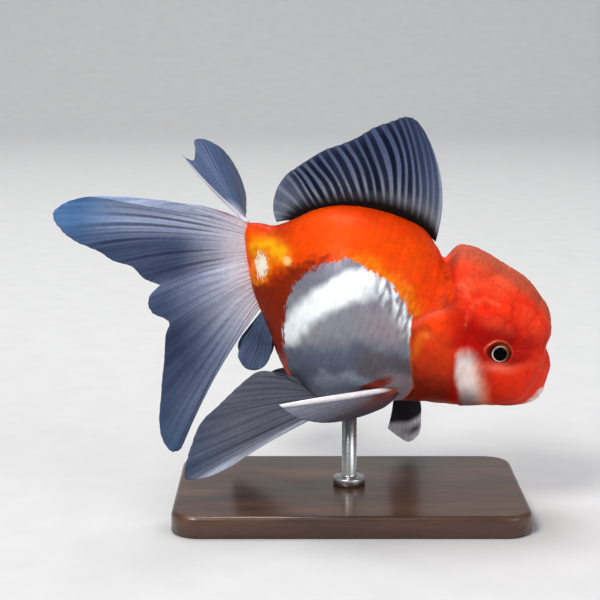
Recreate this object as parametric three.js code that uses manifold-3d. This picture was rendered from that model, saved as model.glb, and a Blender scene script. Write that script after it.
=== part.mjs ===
// A fancy goldfish of the oranda kind, life size, as a still model on a display stand.
//
// The fish is described in its own frame, in millimetres: +X from tail to snout, +Y to its left,
// +Z through its back, with the origin in the middle of the trunk. It is then pitched head down
// and set over the stand, whose underside lies on Z = 0.
import * as THREE from "three";
import { mergeVertices } from "three/addons/utils/BufferGeometryUtils.js";
import Module from "manifold-3d";

const wasm = await Module();
wasm.setup();

// ---------------------------------------------------------------- driving dimensions
const PITCH = THREE.MathUtils.degToRad(20); // head down
const FISH_ORIGIN = new THREE.Vector3(-1.6, 0, 66.4); // the trunk's middle, over the stand
const GAP = 0.3; // clearance between neighbouring pieces

const STAND = {
  length: 112,
  width: 72,
  height: 7,
  corner: 9,
  bevel: 0.9,
  rodRadius: 2.4,
  collarRadius: 5.2,
  collarHeight: 2.6,
};

const EYE = { along: 48.6, out: 16.9, up: 5.2, radius: 4.3 };

// Cross-sections of the body: place along it, height of back and belly, half-width, height of
// the widest place, and squareness (2 is an ellipse, more is boxier).
const BODY = [
  { x: -39.5, top: 12.4, bottom: 10.6, half: 0.5, widest: 11.5, square: 2.0 },
  { x: -38.0, top: 13.3, bottom: 7.4, half: 2.4, widest: 10.5, square: 2.0 },
  { x: -34.0, top: 14.9, bottom: 0.8, half: 4.4, widest: 8.4, square: 2.0 },
  { x: -30.0, top: 15.8, bottom: -5.6, half: 6.3, widest: 6.2, square: 2.0 },
  { x: -25.0, top: 19.9, bottom: -11.0, half: 9.3, widest: 4.0, square: 2.0 },
  { x: -20.0, top: 25.0, bottom: -16.4, half: 13.4, widest: 1.5, square: 2.0 },
  { x: -15.0, top: 28.3, bottom: -22.4, half: 18.2, widest: -1.5, square: 2.0 },
  { x: -8.0, top: 31.0, bottom: -28.6, half: 23.0, widest: -4.0, square: 2.0 },
  { x: 0.0, top: 32.4, bottom: -31.6, half: 25.6, widest: -5.0, square: 2.0 },
  { x: 8.0, top: 32.6, bottom: -31.2, half: 26.0, widest: -5.0, square: 2.05 },
  { x: 16.0, top: 31.2, bottom: -28.4, half: 24.4, widest: -3.5, square: 2.1 },
  { x: 21.5, top: 27.4, bottom: -25.3, half: 22.0, widest: -2.0, square: 2.15 },
  { x: 24.8, top: 25.2, bottom: -23.6, half: 20.8, widest: -0.5, square: 2.2 },
  { x: 28.5, top: 30.7, bottom: -22.0, half: 21.2, widest: 1.0, square: 2.25 },
  { x: 33.0, top: 31.8, bottom: -20.4, half: 21.8, widest: 2.5, square: 2.35 },
  { x: 40.0, top: 31.0, bottom: -18.6, half: 21.8, widest: 4.0, square: 2.45 },
  { x: 48.0, top: 28.8, bottom: -16.4, half: 20.4, widest: 4.5, square: 2.5 },
  { x: 55.0, top: 25.9, bottom: -13.8, half: 18.0, widest: 4.0, square: 2.5 },
  { x: 60.8, top: 20.9, bottom: -12.2, half: 15.0, widest: 2.2, square: 2.45 },
  { x: 63.0, top: 16.4, bottom: -11.2, half: 13.2, widest: 1.2, square: 2.4 },
  { x: 64.8, top: 10.4, bottom: -10.4, half: 11.0, widest: -0.2, square: 2.3 },
  { x: 67.0, top: 7.4, bottom: -8.8, half: 8.2, widest: -1.4, square: 2.2 },
  { x: 68.5, top: 3.6, bottom: -6.6, half: 5.4, widest: -2.0, square: 2.1 },
  { x: 69.3, top: -0.8, bottom: -4.2, half: 1.4, widest: -2.6, square: 2.0 },
];
const TAIL_END = BODY[0].x;
const SNOUT = BODY[BODY.length - 1].x;
const NECK = 24.2; // the head starts here
const STALK = -22; // the tail's stalk ends here
const BEND_START = -5; // the stalk swings to the left behind this place
const BEND = 0.0141; // curvature of that swing, per millimetre

// Soft lumps of the hood and cheeks, alike on both sides: centre, reach along the body, reach
// round it, and height, below zero for a hollow.
const LUMPS = [
  { x: 33, y: 7, z: 30, long: 9, round: 10, high: 0.9 },
  { x: 44, y: 7, z: 29, long: 9, round: 10, high: 0.7 },
  { x: 54, y: 6, z: 25, long: 8, round: 9, high: 0.7 },
  { x: 60.5, y: 6, z: 17, long: 6, round: 8, high: 0.8 },
  { x: 43.5, y: 20, z: 13, long: 8.5, round: 7.5, high: 1.9 },
  { x: 34, y: 19, z: 19, long: 7, round: 7, high: 1.2 },
  { x: 45, y: 16, z: 22, long: 9, round: 8, high: 0.9 },
  { x: 49, y: 20, z: 9.5, long: 7.5, round: 4, high: -1.3 },
  { x: 57, y: 16, z: -3.5, long: 8, round: 8, high: 1.3 },
  { x: 45.5, y: 20, z: -7.5, long: 6, round: 9.5, high: 1.5 },
];

// Pieces of the head, by their outlines from the side as (x, z), how deep they go, and how far
// from the middle plane each side's piece ends.
const HOOD = {
  depth: 5,
  inner: -60,
  outline: [
    [26, 40], [26, 25], [27.6, 20.5], [30, 16], [33, 12.5], [38, 11], [43, 10.5],
    [49, 11.5], [55, 11], [60, 9.5], [70, 8], [72, 40],
  ],
};
const GILL_COVER = {
  depth: 3,
  inner: 6,
  outline: [
    [32.5, 11.5], [27, 9], [24.8, 5], [24.6, -1], [25, -8], [27.2, -14.5], [31.5, -18.5],
    [40.5, -16.8], [38.2, -9], [37.2, -1], [37, 10.6],
  ],
};
const CHEEK = {
  depth: 3,
  inner: 5,
  outline: [
    [37.8, -1], [38.8, -9], [41.2, -16.8], [50, -15], [57, -12], [62.8, -8.5], [62.8, -1.5],
    [56, 0.4], [43.8, 0.2],
  ],
};
const LIPS = [[65, -14], [65, -4.4], [66.6, -0.4], [72, 1], [72, -14]];
const MOUTH = { back: [60, -8.4], front: [74, -3] }; // the closed mouth's line

// Fins. Their roots lie on an arched line. Each ray is its length, its lift from straight back
// in degrees, and its turn to the left. rise and sway bow the rays upward and to the left, from
// the first value at the first ray to the second at the last. ripple waves the margin.
const FINS = {
  dorsal_fin: {
    from: [20, 0, 29],
    to: [-24, 2.4, 20],
    arch: [0, -1, 7],
    rays: [
      [39, 59.5, 0], [37.5, 58.5, 1], [33, 52, 2], [29.5, 44.5, 3], [27.5, 36, 3],
      [26.5, 27.5, 3.5], [25.5, 19, 4], [23.5, 10.5, 4.5], [21, 0.5, 5], [17, -10.5, 6.5],
      [11, -20, 8.5], [3, -25.5, 21.5],
    ],
    rise: [4.4, 0],
    sway: [0, 0],
    ripple: { high: 0.5, waves: 2 },
    steps: [11, 6],
  },
  tail_fin_right_upper: {
    from: [-38, 6.4, 13.4],
    to: [-33, 4.2, 3],
    arch: [0, 0, 0],
    rays: [
      [13.5, 6, -24], [36, -1, -28.5], [54, -4, -27.5], [63, -7, -24.5], [65.5, -9.5, -23.5],
      [62.5, -12.5, -24.5], [58, -14, -25.5], [51, -16, -26.5], [45.5, -19.5, -26],
      [40, -21, -24.5], [36, -27, -22.5], [31, -31, -22.5],
    ],
    rise: [3.4, 0.4],
    sway: [2, 1],
    ripple: { high: 1.1, waves: 2 },
    steps: [11, 7],
  },
  tail_fin_right_lower: {
    from: [-32.6, 4.1, 2.2],
    to: [-24.8, 1.9, -9.6],
    arch: [0, 0, 0],
    rays: [
      [31.5, -30, -24], [36.5, -30.5, -28.5], [37, -33.5, -32.5], [33, -39, -34.5],
      [35.5, -42, -35], [39, -51, -36.5], [46, -59.5, -42], [54.5, -67, -47.5],
      [57.5, -71.5, -53], [54.5, -73.5, -54], [49.5, -73, -51],
    ],
    rise: [0.4, 1.2],
    sway: [0.5, 1],
    ripple: { high: 1.1, waves: 2 },
    steps: [10, 6],
  },
  tail_fin_left_upper: {
    from: [-38.2, 8.6, 13.6],
    to: [-35.5, 8.8, 8],
    arch: [0, 0, 0],
    rays: [
      [48, 11, 53], [47, 11.5, 56], [48, 12, 59.5], [54.5, 18, 58.5], [56.5, 19, 63],
      [55.5, 17.5, 69.5], [54, 15.5, 75.5], [50.5, 13, 79.5], [45, 9.5, 83], [39.5, 5, 84.5],
    ],
    rise: [-1, 1.5],
    sway: [0, -2],
    ripple: { high: 0.3, waves: 2 },
    steps: [9, 6],
  },
  tail_fin_left_lower: {
    from: [-34.6, 8.6, 6.6],
    to: [-27, 6.2, -6.5],
    arch: [0, 0, 0],
    rays: [
      [38.5, 2, 83.5], [43.5, -8, 84], [49, -17.5, 82], [53, -25.5, 81], [54.5, -32, 82],
      [52.5, -37, 86], [45, -36, 89.5], [32.5, -27.5, 89.5],
    ],
    rise: [1.5, 0],
    sway: [-2, 0],
    ripple: { high: 0.8, waves: 1.5 },
    steps: [7, 6],
  },
  anal_fin_right: {
    from: [-20.2, 0.4, -13.6],
    to: [-24, 1.1, -10.4],
    arch: [0, 0, 0],
    rays: [
      [5.5, -56.5, -130], [11, -64.5, -147], [15.5, -72.5, -145], [18, -80, -126.5],
      [18.5, -82, -69.5], [16.5, -76, -33], [12.5, -73, -35.5],
    ],
    rise: [0, 0],
    sway: [0, 0],
    ripple: { high: 0.3, waves: 1.5 },
    steps: [6, 4],
  },
  pectoral_fin_right: {
    from: [25.4, -18, -14.4],
    to: [24.2, -17.2, -18.2],
    arch: [0, 0, 0],
    rays: [
      [42.5, -21.5, -24], [40, -24.5, -26], [35.5, -27.5, -29], [28.5, -30.5, -34],
      [22.5, -32, -41], [16.5, -30.5, -48.5], [10.5, -26, -57.5],
    ],
    rise: [2, -0.4],
    sway: [-2, -0.4],
    ripple: { high: 0.4, waves: 1 },
    steps: [6, 6],
  },
  pectoral_fin_left: {
    from: [25.6, 17.8, -14.4],
    to: [24, 17, -17.6],
    arch: [0, 0, 0],
    rays: [
      [31.5, -39.5, 129.5], [36, -39.5, 129.5], [39.5, -42, 128.5], [40.5, -45.5, 126],
      [36.5, -47.5, 120], [31.5, -49, 113],
    ],
    rise: [1.5, 0.5],
    sway: [2, 1],
    ripple: { high: 0.4, waves: 1 },
    steps: [5, 5],
  },
  pelvic_fin_right: {
    from: [14, -9, -24.6],
    to: [8, -7.8, -25.4],
    arch: [0, 0, 0],
    rays: [
      [46, -43, -23], [53.5, -43.5, -21.5], [60, -41.5, -20], [57.5, -37, -19.5],
      [53.5, -32.5, -17.5], [48.5, -26.5, -15.5], [42, -21, -14.5], [35.5, -12.5, -14],
      [29, -2.5, -14], [21.5, 0, -15], [14, -6.5, -20],
    ],
    rise: [2, 0.5],
    sway: [-0.6, -0.4],
    ripple: { high: 0.8, waves: 2 },
    steps: [10, 6],
  },
};
const FIN_THICK = 0.8; // at the root
const FIN_MARGIN = 0.55; // at the margin

// The left anal and pelvic fins are the right ones mirrored across the body and then turned.
FINS.anal_fin_left = mirrored(FINS.anal_fin_right, { shift: 3.8, lift: 4, length: 0.95 });
FINS.pelvic_fin_left = mirrored(FINS.pelvic_fin_right, { shift: 0, lift: -11, length: 0.82 });

function mirrored(fin, { shift, lift, length }) {
  const across = ([x, y, z]) => [x, shift - y, z];
  return {
    ...fin,
    from: across(fin.from),
    to: across(fin.to),
    rays: fin.rays.map(([long, up, left]) => [long * length, up + lift, -left]),
    sway: fin.sway.map((v) => -v),
  };
}

// ---------------------------------------------------------------- small mathematics
// A smooth curve through values at rising places, read at x.
function smooth(places, values, x) {
  const last = places.length - 1;
  const at = THREE.MathUtils.clamp(x, places[0], places[last]);
  let i = 0;
  while (i < last - 1 && places[i + 1] < at) i++;
  const span = (k) => places[k + 1] - places[k];
  const slope = (k) => (values[k + 1] - values[k]) / span(k);
  const tangent = (k) => {
    if (k === 0) return slope(0);
    if (k === last) return slope(last - 1);
    return (slope(k - 1) * span(k) + slope(k) * span(k - 1)) / (span(k - 1) + span(k));
  };
  const t = (at - places[i]) / span(i);
  return (
    (2 * t ** 3 - 3 * t ** 2 + 1) * values[i] +
    (t ** 3 - 2 * t ** 2 + t) * span(i) * tangent(i) +
    (3 * t ** 2 - 2 * t ** 3) * values[i + 1] +
    (t ** 3 - t ** 2) * span(i) * tangent(i + 1)
  );
}

const bodyAt = (name, x) => smooth(BODY.map((row) => row.x), BODY.map((row) => row[name]), x);
const signedPower = (v, power) => Math.sign(v) * Math.abs(v) ** power;
const bendAt = (x) => 0.5 * BEND * Math.max(0, BEND_START - x) ** 2;
const vector = (values) => new THREE.Vector3(...values);

// ---------------------------------------------------------------- solids
function solidOf(geometry) {
  const bare = geometry.index ? geometry.toNonIndexed() : geometry.clone();
  bare.deleteAttribute("normal");
  bare.deleteAttribute("uv");
  const merged = mergeVertices(bare, 1e-3);
  return new wasm.Manifold(
    new wasm.Mesh({
      numProp: 3,
      vertProperties: merged.attributes.position.array,
      triVerts: new Uint32Array(merged.index.array),
    }),
  );
}

function geometryOf(solid) {
  const mesh = solid.getMesh();
  const corners = new Float32Array(mesh.triVerts.length * 3);
  mesh.triVerts.forEach((v, i) => {
    const start = v * mesh.numProp;
    corners.set(mesh.vertProperties.subarray(start, start + 3), i * 3);
  });
  const geometry = new THREE.BufferGeometry();
  geometry.setAttribute("position", new THREE.BufferAttribute(corners, 3));
  geometry.computeVertexNormals();
  return geometry;
}

const union = (solids) => solids.reduce((sum, solid) => sum.add(solid));

const slab = (low, high) =>
  solidOf(new THREE.BoxGeometry(high - low, 200, 200).translate((low + high) / 2, 0, 0));

const ball = (radius, x, y, z) =>
  solidOf(new THREE.SphereGeometry(radius, 16, 10).translate(x, y, z));

// A prism over an outline in the body's side view, on the side given (-1 right, 1 left), from
// inner to well outside the body. An inner of -REACH takes it through to the other side.
const REACH = 60;
function prism(outline, side = 1, inner = -REACH) {
  const shape = new THREE.Shape(outline.map(([x, z]) => new THREE.Vector2(x, z)));
  const depth = REACH - inner;
  const geometry = new THREE.ExtrudeGeometry(shape, { depth, bevelEnabled: false });
  geometry.rotateX(Math.PI / 2); // the outline's height becomes z and its depth runs to -y
  return solidOf(geometry.translate(0, side < 0 ? -inner : REACH, 0));
}

// An outline moved outward by a distance.
function widened(outline, distance) {
  const corners = outline.map(([x, z]) => new THREE.Vector2(x, z));
  const turn = Math.sign(THREE.ShapeUtils.area(corners)) * distance;
  const outward = (a, b) => new THREE.Vector2(b.y - a.y, a.x - b.x).normalize();
  return corners.map((corner, i) => {
    const before = corners.at(i - 1);
    const after = corners[(i + 1) % corners.length];
    const way = outward(before, corner).add(outward(corner, after)).normalize();
    return corner.clone().addScaledVector(way, turn).toArray();
  });
}

// ---------------------------------------------------------------- the body's surface
// Stations along the body at even steps over its curved outline.
function stations(count) {
  const fine = 600;
  const places = Array.from({ length: fine + 1 }, (_, i) => TAIL_END + ((SNOUT - TAIL_END) * i) / fine);
  const weight = 0.7; // how strongly a change of section draws stations together
  const run = [0];
  for (let i = 1; i <= fine; i++) {
    const change = ["top", "bottom", "half"].map(
      (name) => weight * (bodyAt(name, places[i]) - bodyAt(name, places[i - 1])),
    );
    run.push(run[i - 1] + Math.hypot(places[i] - places[i - 1], ...change));
  }
  return Array.from({ length: count }, (_, i) => smooth(run, places, (run[fine] * i) / (count - 1)));
}

// A point on the body without lumps and bend, moved outward by grow. Angle 0 is the left side
// and a quarter turn the back.
function bodyPoint(x, angle, grow) {
  const power = 2 / bodyAt("square", x);
  const widest = bodyAt("widest", x);
  const sine = signedPower(Math.sin(angle), power);
  const up = bodyAt("top", x) - widest + grow;
  const down = widest - bodyAt("bottom", x) + grow;
  const half = bodyAt("half", x) + grow;
  const least = 0.2;
  const middle = (TAIL_END + SNOUT) / 2;
  return new THREE.Vector3(
    x + (grow * (x - middle)) / (SNOUT - middle),
    Math.max(least, half) * signedPower(Math.cos(angle), power),
    widest + Math.max(least, sine > 0 ? up : down) * sine,
  );
}

function swelling(p) {
  let sum = 0;
  for (const { x, y, z, long, round, high } of LUMPS) {
    const around = Math.hypot(Math.abs(p.y) - y, p.z - z) / round;
    const far = Math.hypot((p.x - x) / long, around);
    if (far < 1) sum += high * (1 - far ** 2) ** 1.2;
  }
  return sum;
}

function bodyGeometry(grow, rows, around) {
  const step = 0.4;
  const turn = 0.02;
  const points = [];
  const ends = [];
  stations(rows).forEach((x, i) => {
    const isEnd = i === 0 || i === rows - 1;
    const ring = Array.from({ length: around }, (_, j) => {
      const angle = (2 * Math.PI * j) / around;
      const p = bodyPoint(x, angle, grow);
      if (!isEnd) {
        const along = bodyPoint(x + step, angle, grow).sub(bodyPoint(x - step, angle, grow));
        const across = bodyPoint(x, angle + turn, grow).sub(bodyPoint(x, angle - turn, grow));
        p.addScaledVector(across.cross(along).normalize(), swelling(p));
      }
      p.y += bendAt(p.x);
      return p;
    });
    points.push(...ring);
    if (isEnd) {
      const sum = ring.reduce((total, p) => total.add(p), new THREE.Vector3());
      ends.push(sum.divideScalar(around));
    }
  });
  points.push(...ends);
  const [tailEnd, snout] = [points.length - 2, points.length - 1];
  const id = (i, j) => i * around + (j % around);
  const index = [];
  for (let j = 0; j < around; j++) {
    index.push(tailEnd, id(0, j + 1), id(0, j));
    index.push(snout, id(rows - 1, j), id(rows - 1, j + 1));
    for (let i = 0; i < rows - 1; i++) {
      index.push(id(i, j), id(i, j + 1), id(i + 1, j + 1));
      index.push(id(i, j), id(i + 1, j + 1), id(i + 1, j));
    }
  }
  const geometry = new THREE.BufferGeometry().setFromPoints(points);
  geometry.setIndex(index);
  return geometry;
}

const bodySurface = (grow) => bodyGeometry(grow, 34, 28);
const bodyCore = (depth) => solidOf(bodyGeometry(-depth, 14, 12));

// ---------------------------------------------------------------- fins
// A point on a fin's middle surface: across runs 0 to 1 over its rays, along 0 to 1 from root
// to margin.
function finPoint(fin, across, along) {
  const places = fin.rays.map((_, i) => i / (fin.rays.length - 1));
  const [length, lift, left] = [0, 1, 2].map((k) =>
    smooth(places, fin.rays.map((ray) => ray[k]), across),
  );
  const a = THREE.MathUtils.degToRad(lift);
  const b = THREE.MathUtils.degToRad(left);
  const way = new THREE.Vector3(-Math.cos(a) * Math.cos(b), Math.cos(a) * Math.sin(b), Math.sin(a));
  const upward = new THREE.Vector3(Math.sin(a) * Math.cos(b), -Math.sin(a) * Math.sin(b), Math.cos(a));
  const leftward = new THREE.Vector3(Math.sin(b), Math.cos(b), 0);
  const hump = 4 * along * (1 - along);
  return vector(fin.from)
    .lerp(vector(fin.to), across)
    .addScaledVector(vector(fin.arch), 4 * across * (1 - across))
    .addScaledVector(way, length * along)
    .addScaledVector(upward, hump * THREE.MathUtils.lerp(...fin.rise, across))
    .addScaledVector(leftward, hump * THREE.MathUtils.lerp(...fin.sway, across));
}

function finNormal(fin, across, along) {
  const step = 0.02;
  const out = Math.max(along, 0.15); // nearer the root the rays run together
  const overRays = finPoint(fin, Math.min(1, across + step), out).sub(
    finPoint(fin, Math.max(0, across - step), out),
  );
  const alongRay = finPoint(fin, across, Math.min(1, along + step)).sub(
    finPoint(fin, across, Math.max(0, along - step)),
  );
  return overRays.cross(alongRay).normalize();
}

function finSolid(fin) {
  const [acrossSteps, alongSteps] = fin.steps;
  const points = [];
  for (const face of [0.5, -0.5]) {
    for (let i = 0; i <= acrossSteps; i++) {
      for (let j = 0; j <= alongSteps; j++) {
        const across = i / acrossSteps;
        const along = j / alongSteps;
        const wave = Math.sin(2 * Math.PI * fin.ripple.waves * across);
        const thick = THREE.MathUtils.lerp(FIN_THICK, FIN_MARGIN, along);
        const offset = face * thick + fin.ripple.high * along ** 2 * wave;
        points.push(
          finPoint(fin, across, along).addScaledVector(finNormal(fin, across, along), offset),
        );
      }
    }
  }
  const row = alongSteps + 1;
  const id = (face, i, j) => face * (acrossSteps + 1) * row + i * row + j;
  const index = [];
  const quad = (a, b, c, d) => index.push(a, b, c, a, c, d);
  for (let i = 0; i < acrossSteps; i++) {
    for (let j = 0; j < alongSteps; j++) {
      quad(id(0, i, j), id(0, i + 1, j), id(0, i + 1, j + 1), id(0, i, j + 1));
      quad(id(1, i, j), id(1, i, j + 1), id(1, i + 1, j + 1), id(1, i + 1, j));
    }
    quad(id(0, i, 0), id(1, i, 0), id(1, i + 1, 0), id(0, i + 1, 0));
    const j = alongSteps;
    quad(id(0, i, j), id(0, i + 1, j), id(1, i + 1, j), id(1, i, j));
  }
  for (let j = 0; j < alongSteps; j++) {
    quad(id(0, 0, j), id(0, 0, j + 1), id(1, 0, j + 1), id(1, 0, j));
    const i = acrossSteps;
    quad(id(0, i, j), id(1, i, j), id(1, i, j + 1), id(0, i, j + 1));
  }
  const geometry = new THREE.BufferGeometry().setFromPoints(points);
  geometry.setIndex(index);
  return solidOf(geometry);
}

// ---------------------------------------------------------------- materials
const flesh = new THREE.MeshStandardMaterial({ color: 0xff5a14, roughness: 0.4, metalness: 0.1 });
const hoodRed = new THREE.MeshStandardMaterial({ color: 0xf03a1c, roughness: 0.5, metalness: 0 });
const lipPale = new THREE.MeshStandardMaterial({ color: 0xe6dcd6, roughness: 0.4, metalness: 0 });
const finBlue = new THREE.MeshStandardMaterial({ color: 0xb4bdd0, roughness: 0.4, metalness: 0 });
const eyeDark = new THREE.MeshStandardMaterial({ color: 0x14110f, roughness: 0.08, metalness: 0 });
const wood = new THREE.MeshStandardMaterial({ color: 0x2a1c14, roughness: 0.45, metalness: 0 });
const steel = new THREE.MeshStandardMaterial({ color: 0xb8babc, roughness: 0.3, metalness: 1 });

function add(group, name, solid, material) {
  const mesh = new THREE.Mesh(geometryOf(solid), material);
  mesh.name = name;
  group.add(mesh);
}

// ---------------------------------------------------------------- the fish
const fish = new THREE.Group();
fish.rotation.y = PITCH;
fish.position.copy(FISH_ORIGIN);
fish.updateMatrixWorld(true);

const SIDES = [
  { name: "right", sign: -1 },
  { name: "left", sign: 1 },
];
const body = solidOf(bodySurface(0));
const clearance = solidOf(bodySurface(GAP));

function addHead() {
  const sockets = union(
    SIDES.map(({ sign }) => ball(EYE.radius + GAP, EYE.along, sign * EYE.out, EYE.up)),
  );
  const whole = body.intersect(slab(NECK + GAP, SNOUT + 10)).subtract(sockets);
  let core = whole;
  // A piece lies in a pocket of the head that is wider and deeper than it by the gap.
  const inlay = (name, { outline, depth, inner }, side, material) => {
    const piece = whole.intersect(prism(outline, side, inner)).subtract(bodyCore(depth));
    const pocket = prism(widened(outline, GAP), side, inner - GAP).subtract(bodyCore(depth + GAP));
    add(fish, name, piece, material);
    core = core.subtract(pocket);
  };
  inlay("hood", HOOD, 1, hoodRed);
  for (const { name, sign } of SIDES) {
    inlay(`gill_cover_${name}`, GILL_COVER, sign, flesh);
    inlay(`cheek_${name}`, CHEEK, sign, flesh);
  }

  const muzzle = whole.intersect(prism(LIPS));
  const lip = (name, far) => {
    const [back, front] = [MOUTH.back, MOUTH.front].map(([x, z]) => [
      x,
      z + (Math.sign(far) * GAP) / 2,
    ]);
    const half = prism([back, front, [front[0], far], [back[0], far]]);
    add(fish, name, muzzle.intersect(half), lipPale);
  };
  lip("upper_lip", 30);
  lip("lower_lip", -30);
  add(fish, "head", core.subtract(prism(widened(LIPS, GAP))), flesh);
  for (const { name, sign } of SIDES) {
    add(fish, `eye_${name}`, ball(EYE.radius, EYE.along, sign * EYE.out, EYE.up), eyeDark);
  }
}

addHead();
add(fish, "trunk", body.intersect(slab(STALK + GAP, NECK)), flesh);
add(fish, "tail_stalk", body.intersect(slab(TAIL_END - 10, STALK)), flesh);
for (const [name, fin] of Object.entries(FINS)) {
  add(fish, name, finSolid(fin).subtract(clearance), finBlue);
}

// ---------------------------------------------------------------- the stand
function baseSolid({ length, width, height, corner, bevel }) {
  const [x, y, r] = [length / 2 - corner, width / 2 - corner, corner - bevel];
  const quarter = Math.PI / 2;
  const shape = new THREE.Shape();
  shape.absarc(x, y, r, 0, quarter);
  shape.absarc(-x, y, r, quarter, 2 * quarter);
  shape.absarc(-x, -y, r, 2 * quarter, 3 * quarter);
  shape.absarc(x, -y, r, 3 * quarter, 4 * quarter);
  const geometry = new THREE.ExtrudeGeometry(shape, {
    depth: height - 2 * bevel,
    bevelThickness: bevel,
    bevelSize: bevel,
    bevelSegments: 1,
    curveSegments: 5,
  });
  return solidOf(geometry.translate(0, 0, bevel));
}

const upright = (radius, low, high) =>
  solidOf(
    new THREE.CylinderGeometry(radius, radius, high - low, 24)
      .rotateX(Math.PI / 2)
      .translate(0, 0, (low + high) / 2),
  );

const stand = new THREE.Group();
const foot = STAND.height + GAP;
const collar = upright(STAND.collarRadius, foot, foot + STAND.collarHeight);
const fishInPlace = solidOf(bodySurface(GAP).applyMatrix4(fish.matrixWorld));
const rod = upright(STAND.rodRadius, foot, FISH_ORIGIN.z).subtract(fishInPlace);
add(stand, "stand_base", baseSolid(STAND), wood);
add(stand, "stand_rod", rod.add(collar), steel);

const model = new THREE.Group();
model.add(fish, stand);
export default model;
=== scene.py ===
import itertools
import math

import bpy
import numpy as np
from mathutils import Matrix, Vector


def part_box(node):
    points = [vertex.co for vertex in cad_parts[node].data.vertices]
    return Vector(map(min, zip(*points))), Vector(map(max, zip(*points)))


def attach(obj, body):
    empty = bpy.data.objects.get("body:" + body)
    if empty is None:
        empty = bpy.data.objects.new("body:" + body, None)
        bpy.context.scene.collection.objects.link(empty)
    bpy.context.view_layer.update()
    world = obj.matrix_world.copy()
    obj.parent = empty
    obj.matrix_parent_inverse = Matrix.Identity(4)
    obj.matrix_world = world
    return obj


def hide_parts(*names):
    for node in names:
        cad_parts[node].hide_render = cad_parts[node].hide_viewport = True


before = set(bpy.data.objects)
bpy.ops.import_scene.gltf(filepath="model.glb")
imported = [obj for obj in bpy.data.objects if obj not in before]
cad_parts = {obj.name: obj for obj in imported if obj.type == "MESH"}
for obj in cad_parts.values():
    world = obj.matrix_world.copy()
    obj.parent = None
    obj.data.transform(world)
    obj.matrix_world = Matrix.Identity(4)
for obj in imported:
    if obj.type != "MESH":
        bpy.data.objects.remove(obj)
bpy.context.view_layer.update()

# The fish is described in its own frame, in millimetres: +X from tail to snout, +Y to its left,
# +Z through its back. placed() turns that frame head down and sets it where the eyes' balls are.


# ---------------------------------------------------------------- sizes shared with the solids
PITCH = math.radians(20)
EYE = {"along": 48.6, "out": 16.9, "up": 5.2, "radius": 4.3}
BODY_KEYS = ("x", "top", "bottom", "half", "widest", "square")
BODY = np.array([
    (-39.5, 12.4, 10.6, 0.5, 11.5, 2.0),
    (-38.0, 13.3, 7.4, 2.4, 10.5, 2.0),
    (-34.0, 14.9, 0.8, 4.4, 8.4, 2.0),
    (-30.0, 15.8, -5.6, 6.3, 6.2, 2.0),
    (-25.0, 19.9, -11.0, 9.3, 4.0, 2.0),
    (-20.0, 25.0, -16.4, 13.4, 1.5, 2.0),
    (-15.0, 28.3, -22.4, 18.2, -1.5, 2.0),
    (-8.0, 31.0, -28.6, 23.0, -4.0, 2.0),
    (0.0, 32.4, -31.6, 25.6, -5.0, 2.0),
    (8.0, 32.6, -31.2, 26.0, -5.0, 2.05),
    (16.0, 31.2, -28.4, 24.4, -3.5, 2.1),
    (21.5, 27.4, -25.3, 22.0, -2.0, 2.15),
    (24.8, 25.2, -23.6, 20.8, -0.5, 2.2),
    (28.5, 30.7, -22.0, 21.2, 1.0, 2.25),
    (33.0, 31.8, -20.4, 21.8, 2.5, 2.35),
    (40.0, 31.0, -18.6, 21.8, 4.0, 2.45),
    (48.0, 28.8, -16.4, 20.4, 4.5, 2.5),
    (55.0, 25.9, -13.8, 18.0, 4.0, 2.5),
    (60.8, 20.9, -12.2, 15.0, 2.2, 2.45),
    (63.0, 16.4, -11.2, 13.2, 1.2, 2.4),
    (64.8, 10.4, -10.4, 11.0, -0.2, 2.3),
    (67.0, 7.4, -8.8, 8.2, -1.4, 2.2),
    (68.5, 3.6, -6.6, 5.4, -2.0, 2.1),
    (69.3, -0.8, -4.2, 1.4, -2.6, 2.0),
])
TAIL_END, SNOUT = BODY[0, 0], BODY[-1, 0]
BEND_START, BEND = -5, 0.0141

# Soft lumps, alike on both sides: centre, reach along the body, reach round it, height.
LUMPS = [
    (33, 7, 30, 9, 10, 0.9), (44, 7, 29, 9, 10, 0.7), (54, 6, 25, 8, 9, 0.7),
    (60.5, 6, 17, 6, 8, 0.8), (43.5, 20, 13, 8.5, 7.5, 1.9), (34, 19, 19, 7, 7, 1.2),
    (45, 16, 22, 9, 8, 0.9), (49, 20, 9.5, 7.5, 4, -1.3), (57, 16, -3.5, 8, 8, 1.3),
    (45.5, 20, -7.5, 6, 9.5, 1.5),
]

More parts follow.
